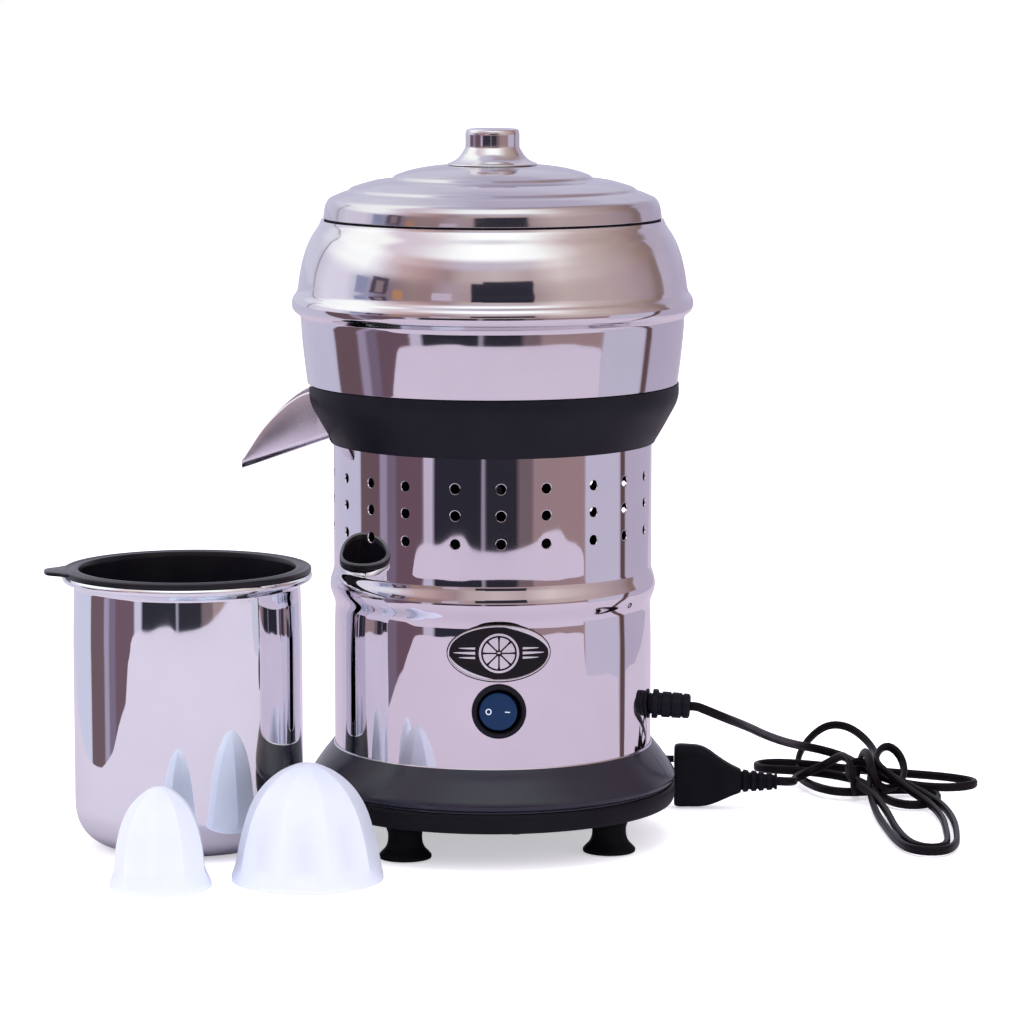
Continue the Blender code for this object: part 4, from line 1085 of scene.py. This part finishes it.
reamer(
    "reamer_large_dome",
    [(0.0, 63.5, 0), (4.6, 63.1), (9.4, 61.5), (16.4, 57.6), (24.6, 50.2), (31.4, 39.6), (36.4, 24.6), (39.6, 10.0), (40.5, 4.0, 0.6), (41.1, 2.6, 0.5), (41.1, 0.0, 0.3)],
    [(41.1, 0.0, 0), (38.6, 0.0, 0.3), (38.0, 4.0, 0), (34.0, 24.0), (28.6, 39.0), (21.6, 48.4), (9.6, 57.0, 0), (9.6, 2.5, 0.3), (5.9, 2.5, 0.3), (5.9, 44.0, 0), (0.0, 44.0, 0)],
    9, 0.055, (-104.7, -114.7), "reamer_large", "reamer_large", 7.0,
)
reamer(
    "reamer_small_dome",
    [(0.0, 54.6, 0), (3.4, 54.1), (6.6, 52.6), (11.4, 48.9), (16.6, 42.9), (20.9, 33.6), (23.8, 21.6), (25.1, 9.6, 1.5), (27.2, 2.4, 0.8), (27.4, 1.2, 0.4), (27.4, 0.0, 0.2)],
    [(27.4, 0.0, 0), (23.0, 0.0, 0.3), (21.8, 9.0), (20.6, 21.6), (18.0, 32.4), (13.4, 41.0), (9.6, 45.0, 0), (9.6, 2.5, 0.3), (5.9, 2.5, 0.3), (5.9, 36.0, 0), (0.0, 36.0, 0)],
    9, 0.055, (-183.5, -130.4), "reamer_small", "reamer_small", 22.0,
)

# ------------------------------------------------------------------ spindle

lathe(
    "spindle_shaft",
    [(0.0, 52.0, 0), (5.0, 52.0, 0.3), (5.0, 283.0, 0.5), (4.6, 286.5), (3.4, 290.0, 0.6), (0.0, 290.0, 0)],
    ZINC, "spindle", steps=64, replaces=["motor_shaft"],
)
lathe(
    "spindle_hub",
    [(5.3, 236.0, 0), (11.6, 236.0, 0.6), (11.8, 240.0, 0.6), (11.2, 241.0, 0.4), (11.2, 246.0, 0.4), (11.8, 247.0, 0.4), (11.8, 254.0, 1.0), (8.6, 262.0, 0.8), (5.3, 262.0, 0)],
    BLACK, "spindle", steps=96, replaces=["drive_hub"],
)
lathe(
    "spindle_seal",
    [(5.6, 225.0, 0), (9.2, 225.0, 0.3), (9.2, 227.4, 0.4), (8.2, 228.2, 0.3), (9.0, 229.0, 0.3), (8.0, 231.0, 0.5), (5.6, 231.0, 0.2)],
    RUBBER, "root", steps=72, replaces=["shaft_seal"],
)

# ------------------------------------------------------------------ kept CAD nodes

KEPT = {
    "motor_bracket": ZINC, "lower_end_bell": IRON, "upper_end_bell": IRON, "motor_stator": IRON, "winding_lower": COPPER,
    "winding_upper": COPPER, "bearing_lower": ZINC, "bearing_upper": ZINC, "tie_rod_1": ZINC, "tie_rod_2": ZINC,
    "tie_rod_3": ZINC, "tie_rod_4": ZINC, "run_capacitor": CREAM, "terminal_block": CREAM, "motor_rotor": IRON,
    "cooling_fan": BLACK, "lid_knob_screw": ZINC, "switch_body": BLACK,
}
for name, material in KEPT.items():
    node = NODES[name]
    for entry in node.material_slots:
        entry.material = material

# ------------------------------------------------------------------ cord and plug

plug_face = Vector((109.2, 73.5, 18.5))
plug_end = Vector((169.6, 67.8, 15.4))
plug_out = (plug_end - plug_face).normalized()
plug_along = Vector((plug_out.x, plug_out.y, 0.0)).normalized()
plug_side = Vector((-plug_along.y, plug_along.x, 0.0))
gland_tip = gland_from + gland_dir * 111.6

ROUTE = [
    # out of the boot and down to the bundle
    tuple(gland_tip), tuple(gland_tip + gland_dir * 4.5), (124, -14.2, 71.0), (131, -9.5, 67.4), (140.5, 7, 61.2), (150, 32, 53.6), (160.5, 61, 44.6), (172, 92, 35.6),
    (181.5, 118, 28.6), (192, 140, 22.5), (204, 149, 18.5), (215, 144, 16), (222, 130, 14.5), (227, 114, 13),
    # the long flat loop that lies across the bundle
    (237, 101, 10), (255, 93, 7), (274, 91.5, 6), (287, 96, 6), (292.5, 105, 6), (287.5, 114.5, 6), (274, 120, 7), (257, 123, 8),
    (239, 126, 9), (221, 132, 9.6), (205, 141, 10), (190, 149, 10), (177, 152.5, 10), (167, 149, 10), (163.4, 141, 10), (168, 133, 10),
    (180, 129, 10), (196, 127, 9), (212, 119, 8), (223, 107, 7),
    # the small loop at the front right
    (229, 92, 5), (232.5, 76, 4), (237, 62, 3.4), (245.5, 54.5, 3), (255.5, 57, 3), (264, 69, 3), (266, 84, 3.2), (259, 97, 3),
    (247, 101, 3), (234, 98, 3.2),
    # the left loop, which stands up behind
    (220, 90, 4), (208, 88.5, 4.5), (198.5, 97, 5), (193, 112, 5), (190, 130, 5), (190, 147, 7.5), (192, 157, 14), (199, 163, 23),
    (210, 163, 31), (221, 158, 31), (230, 148, 26), (235, 134, 20), (233, 116, 17.5),
    # the long double loop at the front
    (228, 96, 14.5), (225.5, 82, 10), (224.4, 64.6, 6), (223.6, 30, 3.2), (223.8, -8, 3), (225.6, -46, 3), (229.6, -65, 3), (237.6, -73.5, 3),
    (247.5, -72.5, 3), (255.8, -58, 3), (261.4, -28, 3), (265.5, 22, 3), (263, 56, 4), (254, 77, 7), (241, 93, 12), (229, 104, 18),
    (218, 103, 20), (213.5, 93, 16), (218, 79, 11), (225, 64, 8.4), (229.6, 32, 3.6), (229.4, -8, 3), (231.0, -42, 3), (234.4, -58, 3),
    (240.6, -66, 3), (247.4, -64, 3), (252.6, -50, 3), (256.6, -20, 3), (259.6, 24, 3), (256, 52, 5), (247, 70, 9.4), (238, 86, 15),
    # the small upright loop
    (231.5, 100, 20), (234.5, 110, 25), (240.5, 116, 27.5), (246.8, 114, 23), (249.5, 105, 14), (246, 95, 8.5), (238.5, 87, 6.4),
    # once and a half round the bundle, which holds it
    (231, 80, 9), (227, 78, 16), (226, 87, 24), (225, 100, 26.5), (224, 112, 21), (223, 117, 12.5), (221.5, 111, 5), (219, 97, 3),
    (216.5, 84, 6), (215.5, 79, 13.5), (214.5, 86, 22), (212, 98, 24.5), (208, 110, 20),
    # back along the floor to the plug
    (201, 118, 14), (192, 117, 10.5), (185, 107, 9.6), (182, 93, 11), (181, 80.5, 13), (177.4, 70.5, 14.4),
    tuple(plug_end + plug_out * 3.4), tuple(plug_end - plug_out * 0.5),
]


def cord_line(points, spacing=2.6, rounds=5):
    """The route as evenly spaced points, eased so that no bend is pinched."""
    fine = catmull([Vector(p) for p in points], 14)

    def even(line):
        total = sum((b - a).length for a, b in zip(line, line[1:]))
        count = max(4, round(total / spacing))
        out, done, i = [line[0]], 0.0, 0
        for k in range(1, count):
            target = total * k / count
            while done + (line[i + 1] - line[i]).length < target:
                done += (line[i + 1] - line[i]).length
                i += 1
            out.append(line[i].lerp(line[i + 1], (target - done) / (line[i + 1] - line[i]).length))
        return out + [line[-1]]

    line = even(fine)
    held = 3
    for _ in range(rounds):
        line = [
            p if i < held or i >= len(line) - held else p * 0.5 + (line[i - 1] + line[i + 1]) * 0.25
            for i, p in enumerate(line)
        ]
    line = even(line)
    return [Vector((p.x, p.y, max(p.z, 2.85))) for p in line]


def cord_mesh(name, line, material):
    """A flat twin lead: two round cores side by side, swept along the line."""
    section = []
    for k in range(24):
        a = 2 * math.pi * k / 24
        waist = 1.0 - 0.16 * math.exp(-((math.cos(a) / 0.34) ** 2))
        section.append((2.6 * math.cos(a), 1.95 * math.sin(a) * waist))
    bm = bmesh.new()
    rings = []
    wide = Vector((0, 0, 1))
    for i, p in enumerate(line):
        tangent = (line[min(i + 1, len(line) - 1)] - line[max(i - 1, 0)]).normalized()
        wide = (wide - tangent * wide.dot(tangent)).normalized()
        upright = Vector((0, 0, 1)) - tangent * tangent.z
        level = upright.length
        if level > 0.2:
            upright.normalize()
            if upright.dot(wide) < 0:
                upright = -upright
            wide = (wide * (1 - 0.12 * level) + upright * 0.12 * level).normalized()
        thin = tangent.cross(wide)
        rings.append([bm.verts.new(p + wide * u + thin * v) for u, v in section])
    for a, b in zip(rings, rings[1:]):
        for k in range(24):
            n = (k + 1) % 24
            bm.faces.new([a[k], a[n], b[n], b[k]])
    bm.faces.new(rings[0])
    bm.faces.new(rings[-1])
    return object_from(name, bm, material, at(0, 0), sharp=60.0)


line = cord_line(ROUTE)
mains = cord_mesh("mains_cord", line, CORD)
settle(mains, "root", ["cord_lead", "cord_hank", "cord_tail"])


def plug_piece():
    """A two-pin plug lying on its edge, with a ribbed relief behind it."""
    stations = [
        (0.0, 6.3, 1.4, 35.4), (0.8, 7.2, 0.5, 36.5), (2.4, 7.6, 0.0, 37.0), (9.0, 7.6, 0.0, 36.9), (15.0, 7.6, 0.1, 36.2), (20.0, 7.5, 0.9, 34.0),
        (25.0, 7.3, 2.6, 30.4), (30.0, 6.9, 4.8, 27.0), (35.0, 6.3, 7.0, 24.2), (40.0, 5.6, 8.6, 22.2), (48.0, 5.1, 9.4, 21.2), (54.0, 4.8, 9.9, 20.4), (60.4, 4.4, 10.6, 19.6),
    ]
    middle = catmull([Vector((s[0], s[2], s[3])) for s in stations], 10)
    width = catmull([Vector((s[0], s[1], 0)) for s in stations], 10)
    bm = bmesh.new()
    rings = []
    for (out, low, high), (_, half, _) in zip(middle, width):
        centre, tall = (low + high) / 2, (high - low) / 2
        squeeze, power = 1.0, 3.4
        if out > 37.5:
            power = 2.6
            phase = ((out - 37.5) / 4.58) % 1.0
            squeeze = 1.0 - 0.20 * max(0.0, min(1.0, (abs(phase - 0.5) < 0.17) * 1.0))
            squeeze += 0.0
        dish = 0.0
        if 3.0 < out < 33.0:
            dish = 0.9 * math.sin(math.pi * (out - 3.0) / 30.0) ** 2
        ring = []
        for k in range(48):
            a = 2 * math.pi * k / 48
            c, s = math.cos(a), math.sin(a)
            x = half * squeeze * math.copysign(abs(c) ** (2 / power), c)
            z = tall * squeeze * math.copysign(abs(s) ** (2 / power), s)
            x -= math.copysign(dish * (1 - min(1.0, abs(z) / (tall * 0.8)) ** 2), x) if abs(z) < tall * 0.8 else 0.0
            p = plug_face + plug_along * out + plug_side * x
            ring.append(bm.verts.new((p.x, p.y, centre + z)))
        rings.append(ring)
    for a, b in zip(rings, rings[1:]):
        for k in range(48):
            n = (k + 1) % 48
            bm.faces.new([a[k], a[n], b[n], b[k]])
    bm.faces.new(rings[0])
    bm.faces.new(rings[-1])
    return object_from("mains_plug", bm, PLUG, at(0, 0), sharp=40.0)


plug = settle(plug_piece(), "root", ["plug_body"])
for index, z in ((1, 28.0), (2, 9.0)):
    start = Vector((plug_face.x, plug_face.y, z))
    lathe(
        f"mains_pin_{index}",
        [(0.0, 0.3, 0), (1.9, 0.3, 0), (1.9, 17.4), (1.75, 18.1), (1.3, 18.7), (0.6, 19.0), (0.0, 19.0, 0)],
        BRASS, "root", steps=48, replaces=[f"plug_pin_{index}"], direction=-plug_along, origin=start,
    )
    lathe(
        f"mains_pin_sleeve_{index}",
        [(1.9, 0.2, 0), (2.05, 0.2, 0), (2.05, 8.8, 0.2), (1.9, 9.1, 0)],
        PLUG, "root", steps=48, direction=-plug_along, origin=start,
    )

# ------------------------------------------------------------------ floor


def stage_material(name, colour, glow=0.0):
    made, g, shader = new_material(name)
    place = coords(g)
    cloud = g.noise(place, 3.0, 2.0, 0.5)
    g.link(
        g.mix(g.span(cloud, 0.3, 0.7, 0.0, 1.0), colour, tuple(c * 0.985 for c in colour)),
        shader.inputs["Base Color"],
    )
    shader.inputs["Roughness"].default_value = 0.9
    shader.inputs["Specular IOR Level"].default_value = 0.1
    if glow:
        shader.inputs["Emission Color"].default_value = (*colour, 1.0)
        shader.inputs["Emission Strength"].default_value = glow
    return made


FLOOR = stage_material("pale_floor", (0.93, 0.92, 0.955), 0.52)
TABLE = stage_material("pale_table", (0.56, 0.50, 0.58))


def flat_sheet(name, points, z, material):
    bm = bmesh.new()
    face = bm.faces.new([bm.verts.new((x, y, z)) for x, y in points])
    if face.normal.z < 0 or face.calc_area() < 0:
        pass
    bmesh.ops.triangulate(bm, faces=list(bm.faces))
    bmesh.ops.recalc_face_normals(bm, faces=bm.faces)
    if sum(f.normal.z for f in bm.faces) < 0:
        bmesh.ops.reverse_faces(bm, faces=bm.faces)
    mesh = bpy.data.meshes.new(name)
    bm.to_mesh(mesh)
    bm.free()
    mesh.materials.append(material)
    obj = bpy.data.objects.new(name, mesh)
    bpy.context.scene.collection.objects.link(obj)
    return obj


# the table top that the polished parts see: it ends near the camera in a
# hanging edge, and a short way out at the left
def table_edge():
    def seen(azimuth, far):
        return bearing_vector(azimuth / 2) * 0.0895 + bearing_vector(azimuth) * far

    drop = [
        (66.6, 1.02), (66.0, 1.20), (60.0, 1.262), (52.5, 1.288), (46.8, 1.352), (35.8, 1.341), (30.5, 1.303), (14.7, 1.241), (-5.8, 1.229),
        (-17.8, 1.253), (-23.1, 1.32), (-31.9, 1.316), (-40.9, 1.267), (-53.0, 1.27), (-59.0, 1.22), (-61.5, 1.12),
    ]
    front_edge = catmull([seen(*entry) for entry in drop], 8)
    right = [(0.9, 2.6), (0.62, 0.9), (0.60, 0.3)]
    right += [tuple(seen(*entry).xy) for entry in ((116, 0.62), (110, 0.60), (108.6, 0.30), (108.0, 0.10), (103.6, 0.10), (102.6, 0.30), (101.0, 0.58), (90, 0.60), (80, 0.60), (69.5, 0.605), (68.0, 0.66), (67.0, 0.84))]
    left = [tuple(seen(*entry).xy) for entry in ((-63.0, 1.0), (-66.5, 0.80), (-70.0, 0.64), (-74.0, 0.60))]
    left += [(-0.60, -0.19), (-0.53, -0.12), (-0.48, -0.03), (-0.47, 0.10), (-0.52, 0.6), (-0.8, 2.6)]
    around = right + [(p.x, p.y) for p in front_edge] + left
    return [(x + AX * MM, y + AY * MM) for x, y in around]


near = flat_sheet("table_near", table_edge(), 0.0, TABLE)
near.visible_camera = False
near.visible_diffuse = False
near.visible_shadow = False
far = flat_sheet(
    "table_far",
    [(16 * math.cos(2 * math.pi * k / 96), 16 * math.sin(2 * math.pi * k / 96)) for k in range(96)],
    -0.0006, FLOOR,
)
far.visible_glossy = False

# ------------------------------------------------------------------ world

world = bpy.data.worlds.new("studio")
bpy.context.scene.world = world
world.use_nodes = True
tree = world.node_tree
tree.nodes.clear()
g = Graph(tree)
direction = g.node("ShaderNodeTexCoord").outputs["Generated"]
unit = g.node("ShaderNodeVectorMath", operation="NORMALIZE")
g.link(direction, unit.inputs[0])
split = g.node("ShaderNodeSeparateXYZ")
g.link(unit.outputs[0], split.inputs[0])
azimuth = g.math("ADD", g.math("DIVIDE", g.math("ARCTAN2", split.outputs[0], g.math("MULTIPLY", split.outputs[1], -1.0)), 2 * math.pi), 0.5)
height = split.outputs[2]
wobble = g.noise(unit.outputs[0], 5.0, 2.0, 0.5)
azimuth = g.math("ADD", azimuth, g.math("MULTIPLY", g.math("SUBTRACT", wobble, 0.5), 0.012))

def bands(items, soft=0.0022):
    """Ramp stops from (start azimuth, colour) bands with narrow joins."""
    stops = []
    for index, (start, colour) in enumerate(items):
        place = start / 360.0 + 0.5
        if index:
            stops.append((min(1.0, place + soft), colour))
        else:
            stops.append((0.0, colour))
        if index + 1 < len(items):
            stops.append((items[index + 1][0] / 360.0 + 0.5 - soft, colour))
    stops.append((1.0, items[-1][1]))
    return stops


def gradient(items):
    """A ramp that fades between (azimuth, colour) places and closes on itself."""
    stops = [(azimuth_stop / 360.0 + 0.5, colour) for azimuth_stop, colour in items]
    return g.ramp(azimuth, [(0.0, items[-1][1]), *stops, (1.0, items[-1][1])])


# level with the table, and below it where the table has ended
low = g.ramp(azimuth, bands([
    (-180, (0.62, 0.61, 0.76)), (-112, (0.16, 0.10, 0.118)), (-91, (0.36, 0.30, 0.42)), (-84, (0.20, 0.15, 0.22)), (-76, (0.16, 0.095, 0.125)),
    (-53, (0.60, 0.54, 0.68)), (-45, (0.028, 0.027, 0.040)), (-10.5, (0.34, 0.30, 0.38)), (-7.5, (0.030, 0.028, 0.040)),
    (15.5, (0.19, 0.135, 0.152)), (27, (0.36, 0.25, 0.26)), (45, (0.37, 0.255, 0.262)), (68, (0.60, 0.57, 0.70)), (103, (0.13, 0.075, 0.075)), (109, (0.52, 0.47, 0.60)),
]))
level_1 = gradient([
    (-170, (0.66, 0.66, 0.80)), (-140, (0.70, 0.72, 0.84)), (-135, (0.66, 0.64, 0.75)), (-133.6, (0.22, 0.18, 0.25)), (-132.2, (0.72, 0.68, 0.80)),
    (-120, (0.84, 0.82, 0.93)), (-100, (0.86, 0.82, 0.94)), (-90, (0.58, 0.60, 0.74)), (-78, (0.34, 0.31, 0.44)), (-70, (0.25, 0.19, 0.25)),
    (-50, (0.37, 0.26, 0.25)), (-40, (0.35, 0.24, 0.24)), (-30, (0.47, 0.38, 0.44)), (-18, (0.46, 0.35, 0.36)), (22, (0.44, 0.34, 0.34)),
    (32, (0.54, 0.43, 0.42)), (42, (0.61, 0.50, 0.47)), (70, (0.56, 0.44, 0.43)), (90, (0.48, 0.37, 0.39)), (103, (0.40, 0.30, 0.32)),
    (112, (0.28, 0.20, 0.18)), (117.5, (0.27, 0.20, 0.19)), (119.5, (0.56, 0.49, 0.60)), (140, (0.51, 0.47, 0.60)), (165, (0.58, 0.56, 0.70)),
])
level_2 = gradient([
    (-165, (0.74, 0.76, 0.87)), (-140, (0.86, 0.88, 0.97)), (-135, (0.84, 0.84, 0.92)), (-133.6, (0.34, 0.30, 0.36)), (-132.2, (1.00, 1.02, 1.06)),
    (-110, (1.20, 1.25, 1.20)), (-90, (1.22, 1.26, 1.22)), (-80, (1.02, 1.02, 1.05)), (-70, (0.78, 0.68, 0.73)), (-60, (0.64, 0.48, 0.47)),
    (-50, (0.58, 0.41, 0.39)), (-40, (0.48, 0.33, 0.33)), (-30, (0.40, 0.29, 0.29)), (-20, (0.56, 0.46, 0.45)), (0, (0.66, 0.56, 0.55)),
    (20, (0.56, 0.45, 0.45)), (30, (0.69, 0.59, 0.57)), (40, (0.80, 0.69, 0.66)), (60, (0.66, 0.55, 0.52)), (90, (0.51, 0.39, 0.38)),
    (108, (0.36, 0.25, 0.22)), (120.5, (0.29, 0.21, 0.20)), (122.5, (0.52, 0.45, 0.55)), (150, (0.53, 0.48, 0.59)), (175, (0.70, 0.70, 0.82)),
])
level_3 = gradient([
    (-160, (0.86, 0.88, 0.97)), (-130, (1.16, 1.20, 1.18)), (-100, (1.25, 1.30, 1.23)), (-88, (1.20, 1.26, 1.22)), (-78, (1.00, 0.95, 1.00)),
    (-70, (0.82, 0.68, 0.70)), (-50, (0.69, 0.52, 0.52)), (-38, (0.61, 0.48, 0.51)), (-20, (0.64, 0.58, 0.68)), (10, (0.67, 0.62, 0.69)),
    (22, (0.72, 0.64, 0.69)), (32, (0.88, 0.79, 0.77)), (42, (0.90, 0.82, 0.79)), (60, (0.67, 0.56, 0.53)), (90, (0.50, 0.39, 0.36)),
    (115, (0.36, 0.25, 0.23)), (127, (0.27, 0.20, 0.20)), (132, (0.48, 0.42, 0.50)), (160, (0.70, 0.68, 0.80)),
])
level_4 = gradient([
    (-160, (0.90, 0.92, 1.00)), (-120, (1.22, 1.27, 1.20)), (-95, (1.18, 1.22, 1.16)), (-82, (0.84, 0.73, 0.81)), (-68, (0.86, 0.76, 0.80)),
    (-50, (0.97, 0.94, 0.95)), (-30, (1.20, 1.24, 1.19)), (-15, (1.30, 1.34, 1.28)), (18, (1.30, 1.34, 1.28)), (32, (1.17, 1.22, 1.16)),
    (50, (0.92, 0.84, 0.81)), (68, (0.67, 0.55, 0.52)), (90, (0.53, 0.42, 0.38)), (115, (0.44, 0.33, 0.30)), (130, (0.42, 0.34, 0.38)),
    (150, (0.60, 0.56, 0.68)),
])
zenith = gradient([
    (-140, (0.60, 0.59, 0.74)), (-90, (0.66, 0.64, 0.78)), (-20, (0.58, 0.55, 0.68)), (50, (0.50, 0.42, 0.46)), (100, (0.44, 0.36, 0.42)),
    (150, (0.54, 0.52, 0.66)),
])
colour = g.mix(g.span(height, 0.00, 0.04, 0.0, 1.0, True), low, level_1)
colour = g.mix(g.span(height, 0.20, 0.36, 0.0, 1.0, True), colour, level_2)
colour = g.mix(g.span(height, 0.42, 0.50, 0.0, 1.0, True), colour, level_3)
colour = g.mix(g.span(height, 0.54, 0.66, 0.0, 1.0, True), colour, level_4)
colour = g.mix(g.span(height, 0.86, 0.955, 0.0, 1.0, True), colour, zenith)


def patch(under, start, stop, bottom, top, shade):
    """A soft-edged block of one colour, between two azimuths and two heights."""
    sides = g.math(
        "MULTIPLY",
        g.span(azimuth, 0.5 + start / 360 - 0.0015, 0.5 + start / 360 + 0.0015, 0.0, 1.0, True),
        g.span(azimuth, 0.5 + stop / 360 - 0.0015, 0.5 + stop / 360 + 0.0015, 1.0, 0.0, True),
    )
    ends = g.math(
        "MULTIPLY",
        g.span(height, bottom - 0.005, bottom + 0.005, 0.0, 1.0, True),
        g.span(height, top - 0.005, top + 0.005, 1.0, 0.0, True),
    )
    return g.mix(g.math("MULTIPLY", sides, ends), under, shade)


# furniture and frames that the bowl and the bead pick up
colour = patch(colour, -92, -82, 0.10, 0.24, (0.32, 0.34, 0.50))
colour = patch(colour, -79, -67, 0.12, 0.27, (0.085, 0.065, 0.10))
colour = patch(colour, -76, -70, 0.14, 0.23, (0.30, 0.22, 0.24))
colour = patch(colour, -63, -57, 0.10, 0.20, (0.52, 0.27, 0.15))
colour = patch(colour, -38, -26, 0.10, 0.20, (0.62, 0.52, 0.62))
colour = patch(colour, -15, 22, 0.13, 0.29, (0.030, 0.030, 0.045))
colour = patch(colour, -8, 22, 0.26, 0.315, (0.034, 0.034, 0.050))
path = g.node("ShaderNodeLightPath")
soft = g.mix(path.outputs["Is Diffuse Ray"], colour, (1.02, 1.0, 1.06))
shown = g.mix(path.outputs["Is Camera Ray"], soft, (1.0, 1.0, 1.0))
back = g.node("ShaderNodeBackground")
g.link(shown, back.inputs["Color"])
back.inputs["Strength"].default_value = 1.0
out = g.node("ShaderNodeOutputWorld")
g.link(back.outputs[0], out.inputs["Surface"])

# ------------------------------------------------------------------ lights


def area_light(name, place, aim, size, power, colour, glossy=True):
    data = bpy.data.lights.new(name, "AREA")
    data.shape = "RECTANGLE"
    data.size, data.size_y = size
    data.energy = power
    data.color = colour
    obj = bpy.data.objects.new(name, data)
    bpy.context.scene.collection.objects.link(obj)
    obj.location = place
    obj.rotation_mode = "QUATERNION"
    obj.rotation_quaternion = (Vector(aim) - Vector(place)).to_track_quat("-Z", "Y")
    obj.visible_glossy = glossy
    return obj


area_light("overhead", (0.1, -0.1, 2.3), (0.05, 0.0, 0.1), (1.7, 1.3), 16.0, (1.0, 0.98, 1.0), False)
area_light("window_left", (-1.9, -1.5, 1.55), (0.0, 0.0, 0.2), (0.9, 1.2), 8.0, (0.97, 0.97, 1.0), False)
area_light("fill_right", (2.0, -1.2, 1.2), (0.05, 0.0, 0.2), (1.1, 1.1), 5.0, (1.0, 0.96, 0.93), False)

# ------------------------------------------------------------------ camera

camera_data = bpy.data.cameras.new("camera")
camera_data.lens = 149.7
camera_data.sensor_width = 36.0
camera_data.clip_end = 200.0
camera = bpy.data.objects.new("camera", camera_data)
bpy.context.scene.collection.objects.link(camera)
camera.location = (-0.0194, -2.3560, 0.499)
pitch = math.radians(7.53)
look = Vector((0.04188 * math.cos(pitch), 0.99912 * math.cos(pitch), -math.sin(pitch)))
camera.rotation_mode = "QUATERNION"
camera.rotation_quaternion = look.to_track_quat("-Z", "Y")
bpy.context.scene.camera = camera
bpy.context.scene.view_settings.view_transform = "Standard"
